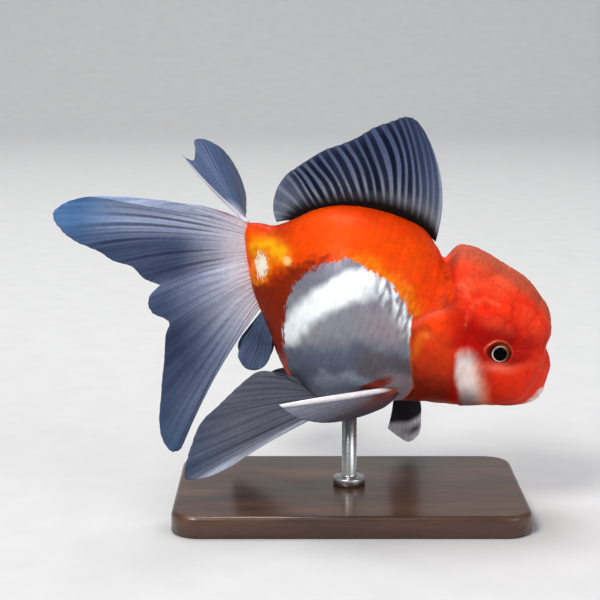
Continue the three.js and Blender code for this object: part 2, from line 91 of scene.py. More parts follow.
# Fins: the root from one place to another, and its arch; how far the first and the last ray bow up,
# and to the left; the height and count of the ripples along the margin; and the rays, each with its
# length, its lift from straight back and its turn to the left, in degrees. Against the solids, the
# back fin's rays stand steeper inside nearly the same outline, the right chest fin sits and turns a
# few millimetres off, and some rays of the left chest fin, the tail's upper fans and its right
# lower fan differ a little.
FIN_KEYS = ("root", "arch", "rise", "sway", "ripple", "rays")
FINS = {
    "dorsal_fin": (
        ([20, 0, 29], [-24, 2.4, 20]), [0, -1, 7], (3.6, 1), (0, 0), (0.5, 2), [
            (35, 64, 0), (36, 64.5, 1), (34.7, 64.2, 2), (31.4, 62, 3), (28.4, 58, 3),
            (24.8, 53.5, 3.5), (22.4, 49, 4), (21, 44, 4.5), (19, 40, 5),
            (17, 36, 6.5), (14.7, 31, 8.5), (6.6, -26, 21.5),
        ],
    ),
    "tail_fin_right_upper": (
        ([-38, 6.4, 13.4], [-33, 4.2, 3]), [0, 0, 0], (3.4, 0.4), (2, 1), (1.1, 2), [
            (13.5, -6, -24.5), (36, -4.6, -25.8), (54, -4.2, -25.8), (63, -6.8, -24.6),
            (65.5, -9.5, -23.5), (62.5, -12.5, -24.5), (58, -14, -25.5), (51, -16, -26.5),
            (45.5, -19.5, -26), (40, -21, -24.5), (36, -27, -22.5), (31, -31, -22.5),
        ],
    ),
    "tail_fin_right_lower": (
        ([-32.6, 4.1, 2.2], [-24.8, 1.9, -9.6]), [0, 0, 0], (0.4, 1.2), (0.5, 1), (1.1, 2), [
            (31.5, -30, -24), (36.5, -30.5, -28.5), (37, -33.5, -32.5), (33, -39, -34.5),
            (35.5, -42, -35), (39, -51, -36.5), (46, -59.5, -42), (54.5, -67, -47.5),
            (56.7, -71.5, -53), (53.5, -73.5, -54), (48.7, -73, -51),
        ],
    ),
    "tail_fin_left_upper": (
        ([-38.2, 8.6, 13.6], [-35.5, 8.8, 8]), [0, 0, 0], (-1, 1.5), (0, -2), (0.3, 2), [
            (48.6, 10.7, 53), (46.5, 11.1, 54.6), (45.1, 12.8, 56.2), (50.2, 15.9, 57.8),
            (56.8, 17.4, 59.6), (57.6, 18.7, 64), (55.8, 18.2, 71), (52, 14.8, 78),
            (45.5, 10.2, 83), (39.5, 5, 84.5),
        ],
    ),
    "tail_fin_left_lower": (
        ([-34.6, 8.6, 6.6], [-27, 6.2, -6.5]), [0, 0, 0], (1.5, 0), (-2, 0), (0.8, 1.5), [
            (38.5, 2, 83.5), (43.5, -8, 84), (49, -17.5, 82), (53, -25.5, 81),
            (54.5, -32, 82), (52.5, -37, 86), (45, -36, 89.5), (32.5, -27.5, 89.5),
        ],
    ),
    "anal_fin_right": (
        ([-20.2, 0.4, -13.6], [-24, 1.1, -10.4]), [0, 0, 0], (0, 0), (0, 0), (0.3, 1.5), [
            (5.5, -56.5, -130), (11, -64.5, -147), (15.5, -72.5, -145), (18, -80, -126.5),
            (18.5, -82, -69.5), (16.5, -76, -33), (12.5, -73, -35.5),
        ],
    ),
    "pectoral_fin_right": (
        ([21.9, -17, -16.6], [24.9, -13.2, -18.2]), [0, 0, 0], (1.4, -0.4), (-2, -0.4), (0.4, 1), [
            (39.5, -20, -27.5), (37.5, -23, -30.5), (34.5, -26, -34), (28.5, -29, -40.5),
            (23, -29, -48.5), (17.5, -26.5, -57.5), (11.5, -20.5, -67),
        ],
    ),
    "pectoral_fin_left": (
        ([25.6, 17.8, -14.4], [24, 17, -17.6]), [0, 0, 0], (1.5, 0.5), (2, 1), (0.4, 1), [
            (31.5, -39.5, 129.5), (36, -39.5, 129.5), (38.9, -42, 128.5),
            (39.4, -45.5, 126), (36, -47.5, 120), (31.5, -49, 113),
        ],
    ),
    "pelvic_fin_right": (
        ([14, -9, -24.6], [8, -7.8, -25.4]), [0, 0, 0], (2, 0.5), (-0.6, -0.4), (0.8, 2), [
            (46, -43, -23), (53.5, -43.5, -21.5), (60, -41.5, -20), (57.5, -37, -19.5),
            (53.5, -32.5, -17.5), (48.5, -26.5, -15.5), (42, -21, -14.5),
            (35.5, -12.5, -14), (29, -2.5, -14), (21.5, 0, -15), (14, -6.5, -20),
        ],
    ),
}
FINS = {name: dict(zip(FIN_KEYS, row)) for name, row in FINS.items()}


def mirrored(fin, shift, lift, length):
    """The fin on the other side of the body, then turned and shortened a little."""
    across = [[x, shift - y, z] for x, y, z in fin["root"]]
    rays = [(long * length, up + lift, -left) for long, up, left in fin["rays"]]
    sway = [-v for v in fin["sway"]]
    return {**fin, "root": across, "rays": rays, "sway": sway}


FINS["anal_fin_left"] = mirrored(FINS["anal_fin_right"], 3.8, 4, 0.95)
FINS["pelvic_fin_left"] = mirrored(FINS["pelvic_fin_right"], 0, -11, 0.82)

# Each half of the tail is one blade: its upper fan runs on into its lower one.
for half in ("right", "left"):
    upper, lower = (FINS.pop(f"tail_fin_{half}_{part}") for part in ("upper", "lower"))
    share = len(upper["rays"]) / (len(upper["rays"]) + len(lower["rays"]))
    FINS[f"tail_fin_{half}"] = {"fans": (upper, lower), "share": share}


# ---------------------------------------------------------------- placing
TURN = np.array([
    [math.cos(PITCH), 0, math.sin(PITCH)],
    [0, 1, 0],
    [-math.sin(PITCH), 0, math.cos(PITCH)],
])


def centre_of(node):
    low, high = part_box(node)
    return np.array((low + high) / 2) * 1000


BETWEEN_EYES = (centre_of("eye_right") + centre_of("eye_left")) / 2
ORIGIN = BETWEEN_EYES - TURN @ np.array([EYE["along"], 0, EYE["up"]])


def placed(points):
    return (points @ TURN.T + ORIGIN) / 1000


# ---------------------------------------------------------------- small mathematics
def smooth(places, values, x):
    """A smooth curve through values at rising places, read at x."""
    places, values = np.asarray(places, float), np.asarray(values, float)
    span = np.diff(places)
    slope = np.diff(values) / span
    inner = (slope[:-1] * span[1:] + slope[1:] * span[:-1]) / (span[:-1] + span[1:])
    tangent = np.concatenate([slope[:1], inner, slope[-1:]])
    x = np.clip(x, places[0], places[-1])
    i = np.clip(np.searchsorted(places, x) - 1, 0, len(places) - 2)
    t = (x - places[i]) / span[i]
    return (
        (2 * t**3 - 3 * t**2 + 1) * values[i]
        + (t**3 - 2 * t**2 + t) * span[i] * tangent[i]
        + (3 * t**2 - 2 * t**3) * values[i + 1]
        + (t**3 - t**2) * span[i] * tangent[i + 1]
    )


def step(low, high, x):
    """0 at low, 1 at high, and smooth between; high may be below low."""
    t = np.clip((x - low) / (high - low), 0, 1)
    return t * t * (3 - 2 * t)


def bell(distance, width):
    return np.exp(-((distance / width) ** 2))


def unit(v):
    return v / np.maximum(np.linalg.norm(v, axis=-1, keepdims=True), 1e-9)


def waves(p, size, seed):
    """Smooth noise from about -1 to 1, with features about size across."""
    rng = np.random.default_rng(seed)
    count = 12
    ways = unit(rng.normal(size=(count, 3)))
    pace = 2 * math.pi / size * rng.uniform(0.6, 1.5, count)
    phase = rng.uniform(0, 2 * math.pi, count)
    return np.sin(p @ (ways * pace[:, None]).T + phase).sum(-1) / 4


def cells(p, size, seed):
    """Distances to the nearest and the next of points scattered about size apart, over size."""
    q = p / size
    home = np.floor(q)
    first = np.full(q.shape[:-1], 9.0)
    second = np.full(q.shape[:-1], 9.0)
    for offset in itertools.product((-1, 0, 1), repeat=3):
        cell = home + np.array(offset)
        key = cell @ np.array([127.1, 311.7, 74.7]) + seed
        place = np.stack([np.sin(key * k) * 43758.5453 for k in (1.0, 1.7, 2.3)], -1)
        away = np.linalg.norm(cell + place - np.floor(place) - q, axis=-1)
        second = np.minimum(second, np.maximum(first, away))
        first = np.minimum(first, away)
    return first, second


def off_line(p, line):
    """Distance from a broken line in the side view, signed: above zero on its left."""
    x, z = p[..., 0], p[..., 2]
    best = np.full(x.shape, 1e9)
    signed = np.zeros(x.shape)
    for (ax, az), (bx, bz) in zip(line, line[1:]):
        ux, uz = bx - ax, bz - az
        t = np.clip(((x - ax) * ux + (z - az) * uz) / (ux * ux + uz * uz), 0, 1)
        dx, dz = x - ax - t * ux, z - az - t * uz
        away = np.hypot(dx, dz)
        signed = np.where(away < best, away * np.sign(ux * dz - uz * dx), signed)
        best = np.minimum(best, away)
    return signed


def oval(p, middle, reach):
    """0 in the middle of an oval in the side view, and 1 on its edge."""
    return np.hypot((p[..., 0] - middle[0]) / reach[0], (p[..., 2] - middle[1]) / reach[1])


def circle(count):
    """Angles at even steps round a circle, as a row."""
    return (np.arange(count) / count * 2 * math.pi)[None, :]


# ---------------------------------------------------------------- the body's surface
def body_at(name, x):
    return smooth(BODY[:, 0], BODY[:, BODY_KEYS.index(name)], x)


def body_point(x, angle):
    """The body without lumps and bend. Angle 0 is the left side and a quarter turn the back."""
    x, angle = np.broadcast_arrays(np.asarray(x, float), np.asarray(angle, float))
    power = 2 / body_at("square", x)
    widest = body_at("widest", x)
    sine = np.sign(np.sin(angle)) * np.abs(np.sin(angle)) ** power
    cosine = np.sign(np.cos(angle)) * np.abs(np.cos(angle)) ** power
    reach = np.where(sine > 0, body_at("top", x) - widest, widest - body_at("bottom", x))
    return np.stack([x, body_at("half", x) * cosine, widest + reach * sine], -1)


def body_normal(x, angle):
    along = body_point(x + 0.4, angle) - body_point(x - 0.4, angle)
    across = body_point(x, angle + 0.02) - body_point(x, angle - 0.02)
    return unit(np.cross(across, along))


def swelling(p):
    total = np.zeros(p.shape[:-1])
    for x, y, z, long, wide, high in LUMPS:
        around = np.hypot(np.abs(p[..., 1]) - y, p[..., 2] - z) / wide
        far = np.minimum(np.hypot((p[..., 0] - x) / long, around), 1)
        total += high * (1 - far**2) ** 1.2
    return total


def bent(p):
    """The tail's stalk swings to the left."""
    p = p.copy()
    p[..., 1] += 0.5 * BEND * np.maximum(0, BEND_START - p[..., 0]) ** 2
    return p


def quarter_tables():
    """For places along the body, the angle at even steps of girth over an upper and lower quarter."""
    xs, share = np.linspace(TAIL_END, SNOUT, 260), np.linspace(0, 1, 121)
    angle = np.linspace(0, math.pi / 2, 241)
    tables = []
    for sign in (1, -1):
        ring = body_point(xs[:, None], sign * angle[None, :])
        pace = np.linalg.norm(np.diff(ring, axis=1, prepend=ring[:, :1]), axis=-1)
        tables.append(np.array([np.interp(share, run / run[-1], angle) for run in np.cumsum(pace, axis=1)]))
    return xs, share, tables


GIRTH = quarter_tables()


def angle_at(x, turn):
    """The angle at a share of the way round, from the left over the back, right and belly."""
    xs, share, (upper, lower) = GIRTH
    x, turn = np.broadcast_arrays(np.asarray(x, float), np.mod(turn, 1.0))
    quarter = np.minimum((turn * 4).astype(int), 3)
    part = turn * 4 - quarter
    part = np.where(quarter % 2 == 1, 1 - part, part)
    i = np.clip((x - xs[0]) / (xs[1] - xs[0]), 0, len(xs) - 1.001)
    j = np.clip(part / share[1], 0, len(share) - 1.001)
    i0, j0 = i.astype(int), j.astype(int)
    fi, fj = i - i0, j - j0

    def read(table):
        near = table[i0, j0] * (1 - fj) + table[i0, j0 + 1] * fj
        far = table[i0 + 1, j0] * (1 - fj) + table[i0 + 1, j0 + 1] * fj
        return near * (1 - fi) + far * fi

    a = np.where(quarter < 2, read(upper), read(lower))
    return np.select(
        [quarter == 0, quarter == 1, quarter == 2], [a, math.pi - a, math.pi + a], 2 * math.pi - a
    )


def angle_at_height(x, z, side):
    """The angle of the body's point at this height, on the left (1) or right (-1)."""
    widest = body_at("widest", x)
    reach = np.where(z > widest, body_at("top", x) - widest, widest - body_at("bottom", x))
    share = np.clip(np.abs(z - widest) / reach, 0, 0.999)
    a = np.arcsin(share ** (body_at("square", x) / 2)) * np.sign(z - widest)
    return np.where(side > 0, a, math.pi - a)


def on_body(x, angle, out=0.0, with_relief=True):
    """Points on the fish, out millimetres above its surface."""
    p = body_point(x, angle)
    n = body_normal(x, angle)
    fold = bell(off_line(p, NAPE_FOLD), 1.9) * step(3, 9, np.abs(p[..., 1]))
    high = swelling(p) - 0.24 * fold + out
    if with_relief:
        high = high + relief(p)
    return bent(p + n * np.asarray(high)[..., None])


# ---------------------------------------------------------------- the head's forms
# A distance that leaves no trace of a form, for the parts of the body that it isn't on.
ELSEWHERE = 99
# Lines on the side of the head: points by place along the body and height. HEAD_EDGE, where the
# scales begin, has the height first.
HEAD_EDGE = np.array([
    (-34, 22), (-20, 27), (-14.5, 27.8), (-9, 24.4), (-1.5, 20.9), (5, 18.9), (7.5, 19.4),
    (9.8, 22.2), (12.5, 26), (15, 28.6), (18.3, 28.9), (22.2, 26.4), (26, 24.9), (34, 24.6),
])
GILL_EDGE = [(29.8, -19.5), (28.5, -14.5), (24.6, -9.1), (20.9, -1.5), (18.7, 5.6)]
GILL_TOP = [(18.7, 5.6), (22.1, 9.4), (26.1, 12.4), (29.6, 15.2)]
NAPE_FOLD = [(24.8, 26), (26.4, 22.2), (29.0, 18.3), (32.4, 11.4), (35.6, 5.0)]
NAPE_WALL = [(24.6, 26), (24.9, 23.2), (25.9, 19.1), (26.6, 13.5)]
BROW_LOBE = [(34.6, 8.5), (34.2, 13.5), (35.0, 17.4), (37.9, 19.8), (42.2, 19.6)]
SMALL_LOBE = [(27.6, 19.6), (29.9, 22.0), (32.4, 20.6), (33.8, 18.6)]
UNDER_EYE = [(51.8, 2.6), (54.0, 3.6), (57.2, 5.4), (62.6, 7.0)]
CHEEK_EDGE = [(39.2, 4.2), (36.6, 3.0), (35.3, 0.4), (36.5, -4.4), (39.6, -10.7), (43.6, -15.4)]
MOUTH = ((60, -8.4), (74, -3))
NOSTRIL = (59.4, 1.6)


def behind_head(p):
    """Millimetres behind the line where scales begin."""
    return np.interp(p[..., 2], HEAD_EDGE[:, 0], HEAD_EDGE[:, 1]) - p[..., 0]


def hood_share(p):
    """1 on the hood over the crown and snout, 0 on bare and scaled skin."""
    x, z = p[..., 0], p[..., 2]
    crown = step(25.5, 29, x) * step(9, 13, z + step(44, 30, x) * -3)
    snout = step(50, 54, x) * step(1, 5, z)
    return np.clip(np.maximum(crown, snout), 0, 1)


def hood_lobes(p):
    """Distances to the middles of the hood's soft lobes, as cells gives them."""
    return cells(p + waves(p, 9, 3)[..., None] * 1.2, 8.5, 5)


def mouth_height(p):
    """Millimetres above the line between the lips."""
    (ax, az), (bx, bz) = MOUTH
    return p[..., 2] - (az + (p[..., 0] - ax) * (bz - az) / (bx - ax))


def lip_share(p):
    """1 on the lips."""
    high = mouth_height(p)
    back = p[..., 0] - 0.46 * (p[..., 2] + 8)
    narrow = step(12.0, 9.0, np.abs(p[..., 1]))
    return step(63.2, 65.6, back) * step(3.6, 2.4, high) * step(-3.6, -2.4, high) * narrow


def eye_distance(p):
    """Millimetres from the eye's middle in the side view."""
    return oval(p, (EYE["along"], EYE["up"]), (1, 1)) + ELSEWHERE * (np.abs(p[..., 1]) < 9)


def relief(p):
    """Height of folds, lobes and grain above the plain body."""
    x, y, z = p[..., 0], np.abs(p[..., 1]), p[..., 2]
    scaled = step(-0.8, 1.6, behind_head(p))
    hood, eye = hood_share(p), eye_distance(p)
    near, nxt = hood_lobes(p)
    lobes = 0.26 * step(0.95, 0.1, near) - 0.16 * bell(nxt - near, 0.13)
    high = hood * lobes * step(28.5, 33, x) - 0.2 * scaled
    high -= (1.1 - 0.8 * step(41, 52, x)) * step(27, 31, x) * step(64, 56, x) * step(14, 25, z)
    bead = step(0.72, 0.1, cells(p, 1.55, 11)[0])
    grain = (0.03 + 0.10 * hood) * bead * step(2.2, 4.2, eye - 2) + 0.06 * waves(p, 5, 8)
    high += grain * (1 - scaled)

    gill, brow, small = (off_line(p, line) for line in (GILL_EDGE, BROW_LOBE, SMALL_LOBE))
    cheek = off_line(p, CHEEK_EDGE)
    folds = 0.62 * step(0.5, -0.5, gill) * bell(gill, 5) * step(8, 4, z)
    folds -= 0.25 * bell(off_line(p, GILL_TOP), 1.0)
    folds += step(7, 13, z) * (0.8 * step(0.8, -0.8, brow) * bell(brow, 3.6) - 0.2 * bell(brow - 0.9, 1.0))
    folds += 0.5 * step(27, 29.5, x) * step(0.7, -0.7, small) * bell(small, 2.2)
    folds -= 0.55 * bell(off_line(p, UNDER_EYE), 0.85)
    folds += 0.7 * step(-0.6, 0.6, cheek) * bell(cheek, 4.2) * step(5.5, 3.0, z)
    high += folds * step(7, 12, y)

    mouth = mouth_height(p)
    lips = 0.2 * bell(np.abs(mouth) - 1.4, 1.2) - 0.3 * bell(mouth, 0.42) - 0.3 * bell(mouth - 3.9, 0.9)
    high += lips * step(61.5, 64, x) - 0.3 * step(58, 61, x) * bell(mouth + 4.4, 1.0)
    nose = oval(p, NOSTRIL, (1, 1)) + ELSEWHERE * (y < 8)
    high += 0.28 * bell(nose - 1.2, 0.6) - 0.45 * bell(nose, 0.6)
    high -= 0.15 * bell(oval(p, (59, 21.5), (3.6, 5)), 1) + 0.5 * bell(oval(p, (64.6, 10), (2.2, 3.4)), 1)
    return high * step(3.6, 5.2, eye) - 1.3 * step(4.3, 3.3, eye)


# ---------------------------------------------------------------- markings
def colour(red, green, blue):
    """Scene-linear colour from 0 to 255 screen values."""
    c = np.array([red, green, blue]) / 255
    return np.where(c <= 0.04045, c / 12.92, ((c + 0.055) / 1.055) ** 2.4)


ORANGE = colour(236, 70, 0)
BACK_RED = colour(226, 52, 2)
NECK_RED = colour(255, 68, 10)
REAR_SHADE = colour(124, 32, 8)
HOOD_RED = colour(246, 46, 12)
SHADE_RED = colour(172, 10, 4)
CORAL = colour(216, 72, 38)
CREST_HIGHLIGHT = colour(244, 92, 58)
CROWN_EDGE_SHADE = colour(160, 74, 52)
CHEEK_ORANGE = colour(224, 44, 16)
GILL_ORANGE = colour(206, 56, 16)
MOTTLE_AND_SHADE_BROWN = colour(118, 28, 10)
PEARL_AND_SHEEN_WHITE = colour(252, 254, 255)
MAUVE_SHADE = colour(124, 121, 134)
ASH_PINK = colour(156, 138, 145)
PEARL_GREY = colour(140, 138, 146)
BLUE_GREY_SHADE = colour(92, 97, 114)
BROWN_GREY = colour(97, 88, 94)
BELLY_GREY = colour(138, 144, 160)
BELLY_SHADE = colour(50, 45, 50)
GOLD = colour(255, 168, 14)
AMBER = colour(246, 126, 14)
BLUSH = colour(230, 176, 164)
CHEEK_WHITE = colour(226, 210, 206)
CREAM = colour(236, 168, 122)
CHEEK_SHADE = colour(98, 64, 62)
SPOT_WHITE = colour(255, 240, 212)
SPOT_RED = colour(140, 44, 24)
STALK_TOP_SHADE = colour(176, 40, 2)
PAINTED_GOLD_GLINT = colour(255, 196, 120)
GLINT = colour(238, 122, 46)
GILL_RIM_HIGHLIGHT = colour(196, 122, 84)
UNDER_EYE_HIGHLIGHT = colour(244, 112, 84)
LIP_PINK = colour(238, 206, 200)

# The white flank patch: radii at even angles round its middle, from straight ahead over the top.
PATCH = {
    "x": 6, "z": -8,
    "radii": [19, 18.4, 20.8, 23.4, 27.6, 26.6, 23.6, 22.6, 24.5, 28, 30, 25.5],
}
# The painted sheen: a diagonal band of painted highlight across the white patch runs along this line.
PAINTED_SHEEN_LINE = [
    (-15.4, -14), (-14.6, -10), (-13.2, -4.5), (-10.4, 1.2), (-6.3, 5.8), (-2.2, 9.6), (3.5, 12.4),
]
GOLD_LINE = [(-25.6, 9.4), (-28.5, 9.6), (-32.6, 7.8)]
# Painted shade lies below this line at the rear of the trunk and on the stalk.
REAR_SHADE_LINE = [(-33, -4), (-26.5, 1), (-22, 6.5), (-15, 13)]
BLAZE = [(38.8, 1.4), (40.6, -4), (44.2, -9.6), (47.6, -14.6)]


def mixed(base, over, share):
    return base + (over - base) * np.asarray(share)[..., None]


def painted(base, *coats):
    """The base tint under coats of others, each a tint and its share."""
    for over, share in coats:
        base = mixed(base, over, share)
    return base


def patch_depth(p):
    """Millimetres inside the white flank patch, below zero outside."""
    left = p[..., 1] > 0
    x = p[..., 0] - PATCH["x"] - np.where(left, 2.5, 0)
    z = p[..., 2] - PATCH["z"] + np.where(left, 2.0, 0)
    angle = np.mod(np.arctan2(z, x), 2 * math.pi)
    radii = PATCH["radii"]
    around = [radii[-1]] + radii + radii[:2]
    places = (np.arange(len(around)) - 1) * 2 * math.pi / len(radii)
    return smooth(places, around, angle) - np.hypot(x, z) + 0.6 * waves(p, 5, 21)


def body_colours(p):
    """Tint and metal share of the trunk and the tail's stalk, without the white patch, with painted shade
    low at the rear and on the stalk's top, and a small painted glint.
    """
    x, y, z = np.moveaxis(p, -1, 0)
    near = y < 0
    mottle, fine = waves(p, 6, 31), waves(p, 2.4, 32)
    rear_shade = off_line(p, REAR_SHADE_LINE) + 1.1 * fine + 0.6 * mottle
    gold = near * bell(off_line(p, GOLD_LINE), 2.7)
    ring = oval(p, (-29.6, 2.6), (2.9, 5.2)) + 0.22 * fine
    glow = near * bell(patch_depth(p) + 1.0, 2.3) * step(-10, 2, x) * step(-6, 4, z)
    tint = painted(
        ORANGE,
        (BACK_RED, 0.55 * step(24, 32, z) + 0.4 * step(-0.1, 1, mottle + 0.4 * fine)),
        (NECK_RED, step(12, 23, x)),
        # Painted shade: the lower rear of the trunk and stalk in dark red brown, below a ragged, mottled
        # line.
        (REAR_SHADE, 0.94 * step(2.4, -2.6, rear_shade) * step(-9, -14, x)),
        # Painted shade: the top of the stalk painted a darker red.
        (STALK_TOP_SHADE, 0.75 * step(-21, -29, x) * step(9.5, 13, z + 0.25 * (x + 30))),
        (GOLD, np.clip(1.25 * gold + 0.3 * gold * fine, 0, 1)),
        (AMBER, 0.9 * near * bell(ring - 0.9, 0.30)),
        # A painted glint: a small pale gold spot ahead of the gold streak.
        (PAINTED_GOLD_GLINT, near * step(1.9, 0.7, oval(p, (-22.7, 8.3), (1, 1)))),
        (AMBER, np.clip((0.8 + 0.4 * fine) * glow, 0, 1)),
    )
    return tint, 0.16 + 0.25 * gold + 0.2 * glow


def patch_colours(p):
    """Tints inside the white patch: a bright diagonal band of painted sheen over mauve, pinkish and blue
    greys, the greys partly painted shade, darkest towards the belly.
    """
    x, _, z = np.moveaxis(p, -1, 0)
    wave = waves(p, 5, 24)
    low = z - 0.6 * np.minimum(x, 6) + wave
    off = np.abs(off_line(p, PAINTED_SHEEN_LINE) + 0.3 * wave)
    wide = 2.6 + 1.6 * step(-15, -4, x)
    flecks = bell(patch_depth(p) - 2.2, 3.2) * step(-4, 2, x) * step(-2, 5, z)
    streak = waves(p * np.array([1, 1, 0.35]), 2.0, 23)
    return painted(
        PEARL_GREY,
        # Painted shade: mauve grey over the upper patch, above the sheen.
        (MAUVE_SHADE, step(2, 10, z - 0.25 * x)),
        (ASH_PINK, bell(np.hypot(x - 12, (z - 1) * 1.2), 7.5)),
        # Painted shade: blue grey lower down the patch.
        (BLUE_GREY_SHADE, step(-3.5, -12.5, low)),
        # Brown grey low on the right, partly the patch's own tone and partly painted shade.
        (BROWN_GREY, 0.85 * step(4, 10, x) * step(-8, -12, low)),
        (BELLY_GREY, step(-17, -21.5, low) * step(-6, -1, x) * step(17, 11, x)),
        # Painted shade: near black towards the belly at the patch's lower rear.
        (BELLY_SHADE, 0.85 * step(-24, -31, z + 0.5 * x + wave)),
        (ASH_PINK, step(13, 20, x) * step(-9, -14, z)),
        # Painted highlight: the bright sheen band across the patch.
        (PEARL_AND_SHEEN_WHITE, step(wide + 2.0, wide - 1.5, off) * step(-19, -13, z) * step(9, 0, x)),
        # White flecks near the patch's upper front, partly its own pearly flecks and partly painted glints.
        (PEARL_AND_SHEEN_WHITE, np.clip(flecks * step(-0.6, 0.4, streak), 0, 1)),
    )


def gill_colours(p, flank, mottle, fine):
    """Tint of the gill cover, amber behind, with a painted glint, painted highlights along its top and rim,
    and painted shade in brown towards its bottom.
    """
    z = p[..., 2]
    glint = oval(p, (25.0, 3.0), (1.9, 1.2)) + 0.15 * fine
    rear = bell(off_line(p, GILL_EDGE) - 0.7 + 0.15 * fine, 0.9) * flank
    return painted(
        GILL_ORANGE,
        (NECK_RED, step(2, 11, z)),
        # Brown mottling, and painted shade darkening the gill cover towards its bottom.
        (MOTTLE_AND_SHADE_BROWN, np.clip(step(1, -15, z + 2 * mottle) + 0.25 * step(0, 1, mottle), 0, 1)),
        (AMBER, 0.55 * bell(oval(p, (23.2, -1.0), (1.5, 4.5)), 1) * flank),
        (GLINT, 0.8 * bell(glint, 0.9) * flank),
        # Painted highlight along the gill cover's top.
        (CREST_HIGHLIGHT, 0.8 * flank * bell(off_line(p, GILL_TOP) + 1.3 + 0.4 * fine, 1.2)),
        # Painted highlight along the gill cover's rear rim.
        (GILL_RIM_HIGHLIGHT, rear * (0.4 * step(-3, 3, z) + 0.7 * bell(z + 9, 4))),
    )


def face_colours(p, flank, mottle):
    """Tint of the hood and cheek: painted shade in deep red behind and above the eye and between the lobes,
    coral on the crown, painted highlights on the lobes and under the eye.
    """
    x, _, z = np.moveaxis(p, -1, 0)
    near, nxt = hood_lobes(p)
    lobed = hood_share(p) * step(28.5, 33, x) * step(8, 15, z)
    below_eye = np.hypot((x - 49.4) / 4.6, (z - 0.9 - 0.16 * (x - 49)) / 1.5)
    return painted(
        # Painted shade: deep red as the base, left in the hollows behind and above the eye.
        SHADE_RED,
        (HOOD_RED, step(10, 18, z + 0.8 * mottle)),
        (CORAL, 0.85 * step(20, 27, z - 0.35 * (x - 45) + 0.8 * mottle) * step(27, 33, x)),
        (CORAL, 0.6 * step(21, 28, z + 1.2 * mottle)),
        # Painted highlight on the hood lobes' crests.
        (CREST_HIGHLIGHT, 0.3 * lobed * step(0.75, 0.1, near)),
        # Painted shade in the creases between the hood's lobes.
        (SHADE_RED, 0.3 * lobed * bell(nxt - near, 0.16)),
        (HOOD_RED, 0.8 * step(56.5, 61, x) * step(14, 7, z)),
        (CHEEK_ORANGE, step(4.4, 0.8, z - 0.28 * (x - 54)) * step(44, 50, x)),
        # Painted shade: the lower front of the head in darker brown.
        (MOTTLE_AND_SHADE_BROWN, 0.5 * step(-6, -14, z) * step(50, 60, x)),
        # Painted highlights: a coral line along the fold under the eye, and a pale coral patch below the
        # eye.
        (CORAL, 0.45 * bell(off_line(p, UNDER_EYE) + 1.5, 1.1) * step(47, 51, x) * flank),
        (UNDER_EYE_HIGHLIGHT, 0.8 * bell(below_eye, 1) * flank),
    )


def head_colours(p):
    """Tint of the gill cover, cheek and hood, with painted highlights on the lobes' crests and painted
    shade in the nape fold and along the crown's edge.
    """
    x, y, z = np.moveaxis(p, -1, 0)
    flank = step(6, 11, np.abs(y))
    mottle, fine = waves(p, 4, 33), waves(p, 1.7, 34)
    face = np.clip(step(30, 36, x + 0.3 * (z - 8)) + step(24, 27, x) * step(15, 20, z), 0, 1)
    brow = bell(off_line(p, BROW_LOBE) + 0.6, 0.75) * step(7, 13, z)
    under = body_at("top", x) - z
    return painted(
        gill_colours(p, flank, mottle, fine),
        (face_colours(p, flank, mottle), face),
        # Painted highlight on the brow lobe's crest.
        (CREST_HIGHLIGHT, 0.65 * brow * (0.7 + 0.5 * fine) * flank),
        # Painted highlight on the small lobe's crest.
        (CREST_HIGHLIGHT, 0.6 * bell(off_line(p, SMALL_LOBE) + 0.6, 0.8) * flank),
        # Painted shade in the nape fold.
        (SHADE_RED, 0.6 * bell(off_line(p, NAPE_FOLD) + 1.2, 2.8) * flank),
        # Painted shade along the crown's top edge.
        (CROWN_EDGE_SHADE, 0.85 * step(5.4, 1.0, under) * step(25, 27, x) * step(64, 60, x)),
    )


